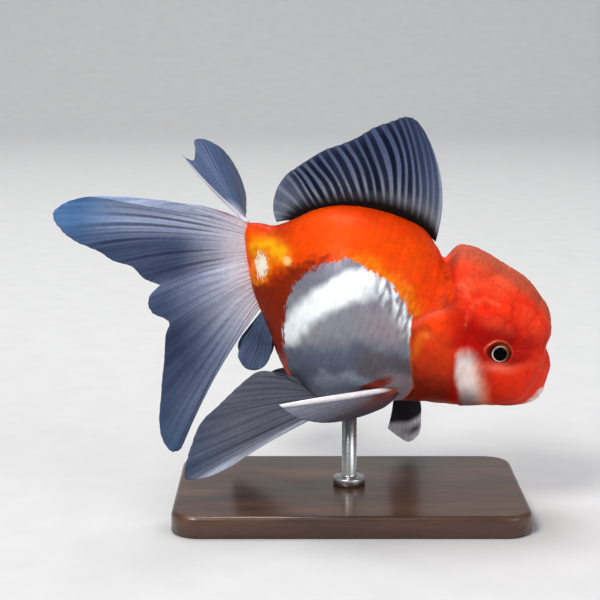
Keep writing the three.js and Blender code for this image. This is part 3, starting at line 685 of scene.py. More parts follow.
def markings(p):
    """The colour layers at p: the tint, the pale tint of white places with the patch's painted sheen and
    shade, and the finish.

    The finish is the metal share, the roughness, the share of the pale tint and that of the hood.
    """
    x, y, z = np.moveaxis(p, -1, 0)
    near = y < 0
    tint, metal = body_colours(p)
    spot = np.hypot((x + 29.5 + 0.25 * (z - 3)) / 3.0, (z - 3.2) / 5.4)
    on_stalk = near * (x < -22)
    pale = np.where(on_stalk[..., None], SPOT_WHITE, patch_colours(p))
    share = np.where(on_stalk, 0.8 * step(1.45, 0.1, spot), step(-2.8, 2.8, patch_depth(p)))
    head = step(0.6, -0.8, behind_head(p)) * step(14, 19, x)

    grainy = 0.5 * waves(p, 1.5, 51) + 0.4 * waves(p, 3.1, 52)
    blaze = off_line(p, BLAZE)
    peak = z + 0.2 * (x - 40) + 0.55 * np.abs(blaze - 0.9) + 0.3 * grainy
    white = step(-4.2, -2.0, blaze + 0.25 * grainy) * step(7.4, 1.2, blaze + 0.3 * grainy) * head
    white = white * step(5, 8, np.abs(y)) * step(6.6, -1.6, peak)
    cheek = painted(
        CHEEK_WHITE,
        (CHEEK_SHADE, 0.9 * step(-5.5, -14.5, z)),
        (CREAM, np.maximum(0.7 * step(0.5, 5, blaze), 0.55 * step(0.5, 5, peak))),
    )
    tint = painted(
        tint,
        (head_colours(p), head),
        (cheek, 0.97 * white),
        (BLUSH, 0.22 * step(-14.5, -18, z + 0.1 * (40 - x)) * step(30, 40, x)),
        (LIP_PINK, lip_share(p)),
        # Painted shade in the line between the lips.
        (SHADE_RED, 0.6 * bell(mouth_height(p), 0.35) * step(62, 64, x)),
    )

    along, over = 0.79 * (x - 15.6) + 0.61 * (z + 17.1), 0.79 * (z + 17.1) - 0.61 * (x - 15.6)
    red_spot = np.hypot(along / 6.4, over / (1.7 + 0.08 * along)) + 0.1 * waves(p, 3, 44)
    pale = mixed(pale, SPOT_RED, 0.95 * near * step(1.2, 0.6, red_spot))
    # Painted shade on the nape's wall behind the hood: the tint there darkened, unevenly.
    wall = bell(off_line(p, NAPE_WALL), 2.1) * step(3, 7, np.abs(y))
    shade = 1 + 0.05 * waves(p, 6, 31) - (0.42 + 0.2 * grainy) * wall
    tint = np.clip(tint * shade[..., None], 0, 1)
    rough = 0.45 + 0.09 * head + 0.3 * wall
    metal = metal * (1 - 0.7 * head) * (1 - wall)
    finish = np.stack([metal, rough, share * (1 - head), hood_share(p) * head], -1)
    return {"tint": tint, "pale": pale, "finish": finish}


# ---------------------------------------------------------------- making meshes
def add_object(name, data):
    made = bpy.data.objects.new(name, data)
    bpy.context.scene.collection.objects.link(made)
    return made


def grid(rows, cols, closed):
    """Quads over rows of cols points, and the same quads on a sheet that isn't joined round."""
    i, j = np.meshgrid(np.arange(rows - 1), np.arange(cols if closed else cols - 1), indexing="ij")
    i, j = i.ravel(), j.ravel()
    after = (j + 1) % cols
    wide = cols + 1 if closed else cols

    def corners(width, nxt):
        return np.stack([i * width + j, i * width + nxt, (i + 1) * width + nxt, (i + 1) * width + j], 1)

    return corners(cols, after), corners(wide, j + 1)


def sheet_map(across, down):
    """Places on the bake map for the points of a grid, a row of them at each step down."""
    return np.stack(np.meshgrid(across, down), -1).reshape(-1, 2)


def dish_map(reach, cols):
    """Places on the bake map for rings of points round its middle."""
    turn = np.linspace(0, 2 * math.pi, cols + 1)
    return (0.5 + reach[:, None, None] * np.stack([np.cos(turn), np.sin(turn)], -1)).reshape(-1, 2)


def make_mesh(name, points, faces, corner_uv, layers, material, replaces=()):
    """A piece from points in metres, with its colour layers and bake map."""
    mesh = bpy.data.meshes.new(name)
    mesh.from_pydata(points.tolist(), [], faces)
    mesh.polygons.foreach_set("use_smooth", np.ones(len(faces), bool))
    uv = mesh.uv_layers.new(name="OFBake")
    uv.data.foreach_set("uv", np.asarray(corner_uv, np.float32).ravel())
    for key, values in layers.items():
        rgba = np.ones((len(points), 4), np.float32)
        rgba[:, : values.shape[-1]] = values.reshape(-1, values.shape[-1])
        mesh.color_attributes.new(key, "FLOAT_COLOR", "POINT").data.foreach_set("color", rgba.ravel())
    mesh.materials.append(material)
    mesh.update()
    piece = add_object(name, mesh)
    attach(piece, "root")
    if replaces:
        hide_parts(*replaces)
    return piece


# ---------------------------------------------------------------- materials
class Nodes:
    """A short way to write a node tree."""

    def __init__(self, name):
        self.material = bpy.data.materials.new(name)
        self.material.use_nodes = True
        self.tree = self.material.node_tree
        self.shader = self.tree.nodes["Principled BSDF"]

    def add(self, kind, inputs=None, **settings):
        node = self.tree.nodes.new(kind)
        for key, value in settings.items():
            setattr(node, key, value)
        for key, value in (inputs or {}).items():
            self.put(node.inputs[key], value)
        return node

    def put(self, socket, value):
        if isinstance(value, bpy.types.NodeSocket):
            self.tree.links.new(value, socket)
        else:
            socket.default_value = value

    def set(self, **inputs):
        for key, value in inputs.items():
            self.put(self.shader.inputs[key.replace("_", " ")], value)

    def place(self):
        return self.add("ShaderNodeTexCoord").outputs["Object"]

    def stretched(self, scale):
        """Places with each direction scaled on its own."""
        inputs = {"Vector": self.place(), "Scale": scale}
        return self.add("ShaderNodeMapping", inputs).outputs[0]

    def noise(self, scale, detail=3.0, vector=None, roughness=0.55):
        inputs = {"Vector": vector or self.place(), "Scale": scale, "Detail": detail}
        return self.add("ShaderNodeTexNoise", {**inputs, "Roughness": roughness}).outputs["Fac"]

    def math(self, operation, a, b=0.0, c=0.0):
        return self.add("ShaderNodeMath", {0: a, 1: b, 2: c}, operation=operation).outputs[0]

    def spread(self, value, low, high):
        """Noise, most of it between 0.25 and 0.75, moved onto low to high."""
        inputs = {"Value": value, "To Min": low, "To Max": high, "From Min": 0.25, "From Max": 0.75}
        return self.add("ShaderNodeMapRange", inputs).outputs["Result"]

    def scaled(self, tint, factor):
        node = self.add("ShaderNodeVectorMath", {0: tint}, operation="SCALE")
        self.put(node.inputs["Scale"], factor)
        return node.outputs[0]

    def ramp(self, value, stops):
        """Colours along a value: the two end stops first, then those between."""
        node = self.add("ShaderNodeValToRGB", {"Fac": value})
        elements = node.color_ramp.elements
        for k, (at, tint) in enumerate(stops):
            element = elements[k] if k < 2 else elements.new(at)
            element.position = at
            element.color = (*tint, 1)
        return node.outputs["Color"]

    def bump(self, height, strength, distance):
        inputs = {"Height": height, "Strength": strength, "Distance": distance}
        return self.add("ShaderNodeBump", inputs).outputs["Normal"]

    def blend(self, first, second, share):
        node = self.add("ShaderNodeMix", {0: share, 6: first, 7: second}, data_type="RGBA")
        return node.outputs[2]

    def smooth_step(self, value, low, high):
        inputs = {"Value": value, "From Min": low, "From Max": high}
        node = self.add("ShaderNodeMapRange", inputs, interpolation_type="SMOOTHSTEP")
        return node.outputs["Result"]

    def layer(self, name):
        return self.add("ShaderNodeAttribute", attribute_name=name).outputs

    def finish(self):
        """The finish layer's four channels."""
        layer = self.layer("finish")
        parts = self.add("ShaderNodeSeparateColor", {"Color": layer["Color"]}).outputs
        return parts[0], parts[1], parts[2], layer["Alpha"]


def living_skin(name, bump, coat, sheen):
    """Wet skin: markings from the mesh with ragged borders, mottled, with the hood's fine beads."""
    n = Nodes(name)
    metal, rough, share, hood = n.finish()
    upright = n.stretched((1.0, 1.0, 0.34))
    ragged = n.noise(1250, 4, upright, 0.68)
    border = n.math("MULTIPLY", share, n.math("SUBTRACT", 1.0, share))
    shift = n.math("MULTIPLY", n.math("SUBTRACT", ragged, 0.5), 7.0)
    share = n.smooth_step(n.math("MULTIPLY_ADD", shift, border, share), 0.36, 0.62)
    tint = n.blend(n.layer("tint")["Color"], n.layer("pale")["Color"], share)

    blotch = n.noise(260, 4)
    streak = n.noise(1500, 3, upright)
    pores = n.noise(2600, 3)
    dots = n.add("ShaderNodeTexVoronoi", {"Vector": n.place(), "Scale": 1450.0}).outputs["Distance"]
    bead = n.smooth_step(dots, 0.62, 0.12)
    grain = n.noise(1100, 4, None, 0.7)
    tint = n.blend(tint, (*CORAL, 1), n.math("MULTIPLY", n.math("MULTIPLY", bead, 0.3), hood))
    tint = n.scaled(tint, n.spread(blotch, 0.88, 1.10))
    tint = n.scaled(tint, n.spread(streak, 0.92, 1.07))
    rich = n.math("MULTIPLY_ADD", n.math("SUBTRACT", grain, 0.5), n.math("MULTIPLY", hood, 0.6), 1.0)
    tint = n.scaled(tint, rich)
    n.set(Base_Color=tint, Metallic=n.math("MULTIPLY_ADD", share, 0.08, metal))
    rough = n.math("MULTIPLY_ADD", share, -0.04, rough)
    n.set(Roughness=n.math("ADD", rough, n.spread(blotch, -0.05, 0.07)))
    bead_height = n.math("MULTIPLY_ADD", hood, 0.8, 0.12)
    height = n.math("MULTIPLY_ADD", bead, bead_height, n.math("MULTIPLY", pores, 0.5))
    n.set(Normal=n.bump(height, bump, 0.00016))
    n.set(Coat_Weight=coat, Coat_Roughness=0.2, Coat_IOR=1.36, IOR=1.38, Specular_IOR_Level=0.08)
    n.set(Sheen_Weight=sheen, Sheen_Roughness=0.5, Sheen_Tint=(1.0, 0.55, 0.42, 1.0))
    n.set(Subsurface_Weight=0.14, Subsurface_Scale=0.0014, Subsurface_Radius=(1.0, 0.25, 0.1))
    return n.material


def fin_membrane(name):
    """A fin's skin: tints and thin places from the mesh, with fine streaks."""
    n = Nodes(name)
    metal, rough, alpha, _ = n.finish()
    streak = n.noise(900, 4)
    tint = n.scaled(n.layer("tint")["Color"], n.spread(streak, 0.86, 1.12))
    n.set(Base_Color=tint, Roughness=n.math("ADD", rough, n.spread(streak, -0.08, 0.1)))
    n.set(Metallic=metal, Alpha=alpha)
    n.set(Normal=n.bump(n.noise(3200, 2), 0.35, 0.00006))
    n.set(Coat_Weight=0.03, Coat_Roughness=0.25, IOR=1.38, Specular_IOR_Level=0.1)
    return n.material


def eye_surface(name):
    """The eye under its clear wet cover: tints and metal from the mesh."""
    n = Nodes(name)
    metal, rough, _, _ = n.finish()
    fleck = n.noise(5200, 3)
    tint = n.scaled(n.layer("tint")["Color"], n.spread(fleck, 0.8, 1.2))
    n.set(Base_Color=tint, Metallic=metal, Roughness=rough)
    n.set(Normal=n.bump(fleck, 0.06, 0.00004))
    n.set(Coat_Weight=0.1, Coat_Roughness=0.012, Coat_IOR=1.33, Specular_IOR_Level=0.01)
    return n.material


def walnut(name):
    """Dark wood with its grain along the base."""
    n = Nodes(name)
    grain = n.noise(1.0, 6, n.stretched((14.0, 120.0, 90.0)), 0.62)
    fibre = n.noise(1.0, 3, n.stretched((90.0, 1900.0, 1500.0)))
    stops = [
        (0.28, colour(38, 21, 12)), (0.72, colour(98, 62, 38)), (0.45, colour(62, 36, 21)),
        (0.56, colour(78, 47, 28)),
    ]
    tint = n.scaled(n.ramp(grain, stops), n.spread(fibre, 0.75, 1.2))
    n.set(Base_Color=tint, Roughness=n.spread(fibre, 0.28, 0.46))
    n.set(Normal=n.bump(fibre, 0.18, 0.00008), Coat_Weight=0.35, Coat_Roughness=0.16)
    return n.material


def brushed_steel(name):
    """Steel with fine lines round it."""
    n = Nodes(name)
    lines = n.noise(1.0, 3, n.stretched((260.0, 260.0, 9000.0)))
    tint = n.ramp(lines, [(0.3, (0.50, 0.50, 0.51)), (0.7, (0.68, 0.68, 0.68))])
    n.set(Base_Color=tint, Roughness=n.spread(lines, 0.22, 0.42))
    n.set(Metallic=1.0, Normal=n.bump(lines, 0.15, 0.00004))
    return n.material


SKIN = living_skin("fish_skin", 0.7, 0.03, 0.03)
SCALE = living_skin("fish_scales", 0.25, 0.03, 0.0)
FIN = fin_membrane("fish_fin")
EYE_GLOSS = eye_surface("fish_eye")
WALNUT = walnut("stand_walnut")
STEEL = brushed_steel("stand_steel")


# ---------------------------------------------------------------- the skin
def stations(count, weight):
    """Places along the body at even steps over its outline, closer where weight says so."""
    fine = np.linspace(TAIL_END, SNOUT, 2401)
    change = [0.7 * np.diff(body_at(name, fine)) for name in ("top", "bottom", "half")]
    steps = np.sqrt(np.diff(fine) ** 2 + sum(c**2 for c in change))
    run = np.concatenate([[0], np.cumsum(steps * weight((fine[1:] + fine[:-1]) / 2))])
    return np.interp(np.linspace(0, run[-1], count), run, fine)


def make_skin():
    """One skin over all the flesh, closed by a fan of faces at each end."""
    rows, cols = 384, 256
    xs = stations(rows, lambda x: 0.62 + 0.6 * step(16, 30, x))
    even = np.arange(cols) / cols
    turn = even - 0.34 * np.sin(4 * math.pi * even) / (4 * math.pi)
    angle = angle_at(xs[:, None], turn[None, :])
    x = np.broadcast_to(xs[:, None], angle.shape)
    plain = body_point(x, angle)
    ends = bent(plain[[0, -1]])
    inner = on_body(x[1:-1], angle[1:-1])
    points = [ends[:1], inner, ends[1:], ends.mean(1, keepdims=True).transpose(1, 0, 2)]
    points = np.concatenate([part.reshape(-1, 3) for part in points])
    layers = markings(plain)
    # Painted shade: the skin darkened by a quarter from just ahead of where the scales begin and under
    # them.
    layers["tint"] *= 1 - 0.25 * step(-3, 0, behind_head(plain))[..., None]
    count, last = rows * cols, (rows - 1) * cols
    for key, values in layers.items():
        values = values.reshape(count, -1)
        layers[key] = np.concatenate([values, values[:1], values[-1:]])
    quads, flat = grid(rows, cols, True)
    u, v = np.linspace(0.004, 0.996, cols + 1), np.linspace(0.01, 0.99, rows)
    faces, uv = quads.tolist(), sheet_map(u, v)[flat].reshape(-1, 2).tolist()
    for j in range(cols):
        after = (j + 1) % cols
        faces += [[count, after, j], [count + 1, last + j, last + after]]
        uv += [(u[j], 0.002), (u[j + 1], v[0]), (u[j], v[0])]
        uv += [(u[j], 0.998), (u[j], v[-1]), (u[j + 1], v[-1])]
    flesh = ["head", "hood", "upper_lip", "lower_lip", "trunk", "tail_stalk"]
    flesh += [f"{part}_{word}" for part in ("gill_cover", "cheek") for word in ("right", "left")]
    return make_mesh("body_skin", placed(points), faces, uv, layers, SKIN, flesh)


# ---------------------------------------------------------------- scales
SCALES = {
    "columns": 30, "above": 9, "below": 7, "length": 1.8, "wide": 0.62, "thick": 0.035,
    "across": 11, "along": 9, "patch": 0.003,
}


def scale_roots(side, rng):
    """The scales' places along the body, turns round it and room in it, and the columns' step."""
    xs = np.linspace(29.5, TAIL_END + 1.2, SCALES["columns"])
    roots = []
    for k, x in enumerate(xs):
        for count, way in ((SCALES["above"], 0.25), (SCALES["below"], -0.25)):
            for r in range(count + 1):
                share = (r + 0.5 * (k % 2)) / count
                twice = way < 0 and share < 0.001
                if share < 1.001 and not twice:
                    turn = np.mod(way * share, 1)
                    roots.append((x, turn if side > 0 else 0.5 - turn, 0.25 / count))
    roots = np.array(roots)
    roots[:, 0] += rng.uniform(-0.12, 0.12, len(roots))
    roots[:, 1] += rng.uniform(-0.04, 0.04, len(roots)) * roots[:, 2]
    place = body_point(roots[:, 0], angle_at(roots[:, 0], roots[:, 1]))
    return roots[behind_head(place) > -0.8], xs[0] - xs[1]


def scale_faces(side):
    """The faces of one scale: its outer and inner sheets and the rim between them."""
    across, along = SCALES["across"], SCALES["along"]
    size = across * along
    sheet, _ = grid(across, along, False)
    border = [i * along for i in range(across)] + [(across - 1) * along + j for j in range(1, along)]
    border += [i * along + along - 1 for i in range(across - 2, -1, -1)]
    border += list(range(along - 2, 0, -1))
    rim = np.array([[p, q, q + size, p + size] for p, q in zip(border, border[1:] + border[:1])])
    top = sheet[:, ::-side]
    return np.concatenate([top, top[:, ::-1] + size, rim[:, ::side]])


def make_scales(side, name):
    """Overlapping scales over one side of the trunk and stalk, free edges towards the tail."""
    rng = np.random.default_rng(7 if side > 0 else 6)
    roots, pitch = scale_roots(side, rng)
    count = len(roots)
    across, along = SCALES["across"], SCALES["along"]
    place, turn, room = roots.T[:, :, None, None]
    a = np.linspace(-1, 1, across)[None, :, None]
    b = (np.linspace(0, 1, along) ** 0.8)[None, None, :]
    reach = np.sqrt(np.clip(1 - (np.maximum(0, b - 0.42) / 0.585) ** 2, 0, 1)) ** 0.85
    wide = SCALES["wide"] * (1 + 0.05 * rng.uniform(-1, 1, count))[:, None, None]
    x = np.clip(place - pitch * SCALES["length"] * (b - 0.06 * a**2), TAIL_END + 0.3, SNOUT)
    angle = angle_at(x, turn + room * wide * a * reach)
    lift = -0.115 + 0.14 * b**1.1 - 0.02 * a**2 - 0.008 * step(0.84, 1.0, b)
    lift = lift * step(-1, 6, x - TAIL_END) + rng.uniform(-0.006, 0.006, count)[:, None, None]
    edge = np.ones((across, along))
    edge[[0, -1], :] = 0.25
    edge[:, -1] = 0.25
    sheets = [on_body(x, angle, high, False) for high in (lift, lift - SCALES["thick"] * edge)]
    points = np.stack(sheets, 1).reshape(-1, 3)

    layers = markings(body_point(x, angle))
    layers["finish"][..., 1] += 0.18 * step(0.75, 0.95, b)
    striae = 1 + 0.03 * np.cos(a * 15) * step(0.4, 1, b)
    # Each scale darkens towards its free edge, partly its own outline and partly painted shade of the edge,
    # with a slightly lighter band before it.
    margin = 1 - 0.15 * step(0.86, 1.0, b) + 0.04 * bell(b - 0.78, 0.1)
    shade = striae * margin * (1 + 0.03 * rng.uniform(-1, 1, count)[:, None, None])
    for key in ("tint", "pale"):
        layers[key] = np.clip(layers[key] * shade[..., None], 0, 1)
    layers = {key: np.stack([values, values], 1) for key, values in layers.items()}

    first = 2 * across * along * np.arange(count)
    faces = (scale_faces(side)[None] + first[:, None, None]).reshape(-1, 4)
    spot = np.stack([np.mod(roots[:, 1], 1), (roots[:, 0] - TAIL_END) / (SNOUT - TAIL_END)], -1)
    local = np.stack(np.broadcast_arrays(a / 2, b - 0.5), -1) * SCALES["patch"]
    patch = np.clip(0.01 + 0.98 * spot[:, None, None, :] + local, 0, 1)
    patch = np.stack([patch, patch], 1).reshape(-1, 2)
    piece = make_mesh(name, placed(points), faces.tolist(), patch[faces.ravel()], layers, SCALE)
    piece.data.set_sharp_from_angle(angle=math.radians(40))


# ---------------------------------------------------------------- fins
LILAC = colour(200, 192, 202)
ROOT_FLUSH = colour(224, 142, 116)
TAIL_FLUSH = colour(138, 44, 24)
PALE_GREY = colour(170, 174, 192)
HAZE = colour(168, 182, 212)
TIP_BLUE = colour(88, 128, 178)
PELVIC_TIP_HIGHLIGHT = colour(200, 208, 230)
DULL_BLUE = colour(84, 98, 128)
STEEL_BLUE = colour(56, 70, 100)
SLATE = colour(62, 74, 100)
INDIGO = colour(34, 46, 74)
INK = colour(24, 34, 68)
SMOKE = colour(88, 90, 102)
CHAR = colour(44, 46, 58)
FIN_SHADOW_DARK = colour(44, 40, 48)
SOOT = colour(15, 7, 6)
ICE = colour(150, 158, 178)
WHITE_SPINE = colour(240, 234, 238)
PALE_LIT_FIN_END = colour(244, 243, 250)
MIDNIGHT = colour(11, 18, 43)
ASH = colour(160, 158, 172)
PALE_SPINE = colour(158, 160, 174)
# Each fin's looks: the count of rays, steps along them, the half width of the dark web as a share of
# a ray's room, its tint, its strength and how much that differs; the thickness, tint and width of
# the leading spine and how far it tapers; how far rays stand past the margin, how clear the web is
# there, and the rays' tints at distances from the root.
LOOK_KEYS = (
    "rays", "steps", "web", "dark", "dusk", "uneven", "spine", "spine_tint", "spine_wide", "taper",
    "fray", "clear", "tints",
)
FIN_LOOKS = {
    "dorsal_fin": (20, 48, 0.43, MIDNIGHT, 1.0, 0.08, 0.45, ICE, 0.035, 0.5, 0.008, 0.02, [
        (0, SOOT), (2.5, SOOT), (6, colour(122, 128, 138)), (14, colour(96, 109, 136)),
        (24, colour(78, 92, 124)), (36, colour(66, 79, 109)),
    ]),
    "tail_fin_right": (26, 68, 0.29, INK, 0.92, 0.7, 0.3, ICE, 0.012, 0.3, 0.008, 0.06, [
        (0, ROOT_FLUSH), (2.5, LILAC), (12, PALE_GREY), (30, HAZE), (40, HAZE), (57, TIP_BLUE),
    ]),
    "tail_fin_left": (24, 56, 0.20, SLATE, 0.5, 0.7, 0.3, ASH, 0.03, 0.3, 0.006, 0.04, [
        (0, LILAC), (8, PALE_GREY), (18, colour(68, 82, 112)), (50, colour(60, 76, 108)),
    ]),
    "anal_fin_right": (9, 28, 0.16, SLATE, 0.4, 0.7, 0.15, DULL_BLUE, 0.03, 0.5, 0.004, 0.04, [
        (0, DULL_BLUE), (8, SLATE), (16, DULL_BLUE),
    ]),
    "pectoral_fin_right": (12, 50, 0.2, CHAR, 0.3, 0.7, 0.5, WHITE_SPINE, 0.3, 0.8, 0.006, 0.05, [
        (0, colour(164, 84, 66)), (7, colour(104, 54, 46)), (17, colour(62, 52, 54)),
        (40, colour(56, 58, 72)),
    ]),
    "pelvic_fin_right": (12, 60, 0.22, CHAR, 0.6, 0.7, 0.4, PALE_SPINE, 0.05, 0.4, 0.008, 0.05, [
        (0, colour(112, 104, 112)), (12, SMOKE), (40, SMOKE), (58, SLATE),
    ]),
}
FIN_LOOKS = {name: dict(zip(LOOK_KEYS, row)) for name, row in FIN_LOOKS.items()}
for twin in ("anal_fin", "pectoral_fin", "pelvic_fin"):
    FIN_LOOKS[f"{twin}_left"] = FIN_LOOKS[f"{twin}_right"]


def fan_point(fin, across, along):
    """A fan's middle surface: across 0 to 1 over its rays, along 0 to 1 from root to margin."""
    rays = np.array(fin["rays"], float)
    places = np.linspace(0, 1, len(rays))
    length, lift, left = (smooth(places, rays[:, k], across) for k in range(3))
    a, b = np.radians(lift), np.radians(left)
    way = np.stack([-np.cos(a) * np.cos(b), np.cos(a) * np.sin(b), np.sin(a)], -1)
    upward = np.stack([np.sin(a) * np.cos(b), -np.sin(a) * np.sin(b), np.cos(a)], -1)
    leftward = np.stack([np.sin(b), np.cos(b), 0 * b], -1)
    start, end = (np.array(place, float) for place in fin["root"])
    hump = 4 * along * (1 - along) * np.minimum(1, length / 34)
    rise, sway = (
        (hump * (first + (last - first) * across))[..., None]
        for first, last in (fin["rise"], fin["sway"])
    )
    t = across[..., None]
    root = start * (1 - t) + end * t + np.array(fin["arch"], float) * 4 * t * (1 - t)
    return root + way * (length * along)[..., None] + upward * rise + leftward * sway


def fan_places(fin, across):
    """Places across the upper and the lower of two joined fans."""
    share = fin["share"]
    return np.clip(across / share, 0, 1), np.clip((across - share) / (1 - share), 0, 1)


def fin_point(fin, across, along):
    """A fan's surface, or that of two fans joined edge to edge."""
    across, along = np.broadcast_arrays(across, along)
    if "fans" not in fin:
        return fan_point(fin, across, along)
    (upper, lower), (high, low) = fin["fans"], fan_places(fin, across)
    over, under = fan_point(upper, high, along), fan_point(lower, low, along)
    apart = fan_point(upper, 1 + 0 * along, along) - fan_point(lower, 0 * along, along)
    under = under + apart * step(0.22, 0, low)[..., None]
    return np.where((across < fin["share"])[..., None], over, under)


def fin_wave(fin, across, along):
    """How far the rippled margin stands off the middle surface."""
    if "fans" in fin:
        (upper, lower), (high, low) = fin["fans"], fan_places(fin, across)
        over, under = fin_wave(upper, high, along), fin_wave(lower, low, along)
        return np.where(across < fin["share"], over, under)
    high, count = fin["ripple"]
    return high * along**2 * np.sin(2 * math.pi * count * across) * step(0, 0.4, across)


def fin_normal(fin, across, along):
    out, d = np.maximum(along, 0.15), 0.02
    before, after = np.maximum(0, across - d), np.minimum(1, across + d)
    inner, outer = np.maximum(0, along - d), np.minimum(1, along + d)
    over = fin_point(fin, after, out) - fin_point(fin, before, out)
    down = fin_point(fin, across, outer) - fin_point(fin, across, inner)
    return unit(np.cross(over, down))


def uneven(number, seed):
    """A value from 0 to 1 that differs from ray to ray."""
    wild = np.sin(number * 12.9898 + seed * 4.1) * 43758.5453
    return wild - np.floor(wild)


def gradient(distance, stops):
    """Colours between those given at rising distances."""
    places = [place for place, _ in stops]
    return np.stack([np.interp(distance, places, [tint[k] for _, tint in stops]) for k in range(3)], -1)


def fin_tint(name, look, across, reach, along, ray, web, split, spine):
    """Colour of a fin: pale rays, dark web between them, and each fin's own flushes."""
    strength = look["dusk"] * step(0.05, 0.3, along) * step(1.3, 0.85, along)
    washes, flushes = [], []
    if name == "dorsal_fin":
        strength = strength * (1 - 0.5 * step(0.84, 0.96, across)) * (1 - 0.5 * step(0.3, 0.04, across))
        washes = [(HAZE, 0.3 * step(0.8, 0.96, across) * step(3, 8, reach))]
        flushes = [(SOOT, 0.9 * step(9, 1.5, reach) * (1 - 0.5 * ray) * step(0.0, 0.12, across))]
    if name == "tail_fin_right":
        lower, high = step(0.48, 0.60, across), step(0.3, 0.12, across)
        middle = (1 - lower) * step(0.16, 0.34, across) * step(7, 26, reach)
        washes = [
            (INDIGO, lower * step(10, 34, reach) * step(1.05, 0.78, across)),
            (DULL_BLUE, 0.45 * lower * step(8, 26, reach)),
            (STEEL_BLUE, 0.94 * middle),
            (DULL_BLUE, 0.35 * step(0.07, 0, across) * step(12, 20, reach)),
        ]
        strength = strength * (1 - 0.45 * lower) * step(4, 16, reach) * step(0.0, 0.14, across)
        strength = strength * step(72 - 18 * high, 46 - 8 * high, reach)
        flushes = [(TAIL_FLUSH, 0.85 * bell(across - 0.03, 0.024) * bell(reach - 9, 4))]
    if name.startswith("pelvic"):
        strength = strength * step(0, 0.3, across)
        washes = [
            (PALE_GREY, 0.6 * step(0.26, 0.03, across) * step(6, 16, reach)),
            # A painted highlight streak near the tip, close to the leading margin.
            (PELVIC_TIP_HIGHLIGHT, 0.6 * bell(across - 0.10, 0.04) * step(38, 50, reach)),
        ]
    if name == "pectoral_fin_right":
        washes = [
            (PALE_GREY, 0.45 * step(0.56, 0.1, across) * step(6, 14, reach)),
            (CHAR, 0.7 * step(0.4, 0.85, across)),
        ]
    if name == "pectoral_fin_left":
        # The left chest fin: dark all over as painted shadow, with a near white end round a dark spot,
        # partly its own pale end and partly painted light.
        spot = np.hypot((across - 0.45) / 0.2, (reach - 34) / 2.4)
        washes = [(FIN_SHADOW_DARK, 1.0), (PALE_LIT_FIN_END, step(27, 30, reach) * (1 - 0.92 * bell(spot, 1)))]
    tint = painted(
        gradient(reach, look["tints"]), *washes,
        (look["dark"], web * strength),
        (look["dark"], 0.5 * split * strength),
        (look["spine_tint"], spine * step(0.02, 0.16, along)),
    )
    lines = np.stack(np.broadcast_arrays(across * look["rays"] * 5, along * 5, 0), -1)
    tint = np.clip(tint * (1 + 0.10 * waves(lines, 3, 71))[..., None], 0, 1)
    return painted(tint, *flushes)


# A fin's blade: the points across each ray, and in millimetres its half thickness at the root, how
# much of that is lost by the margin, the least half thickness, and the depth of the pleats.
BLADE = {"points": 11, "half": 0.30, "loss": 0.22, "least": 0.03, "pleat": 0.18}


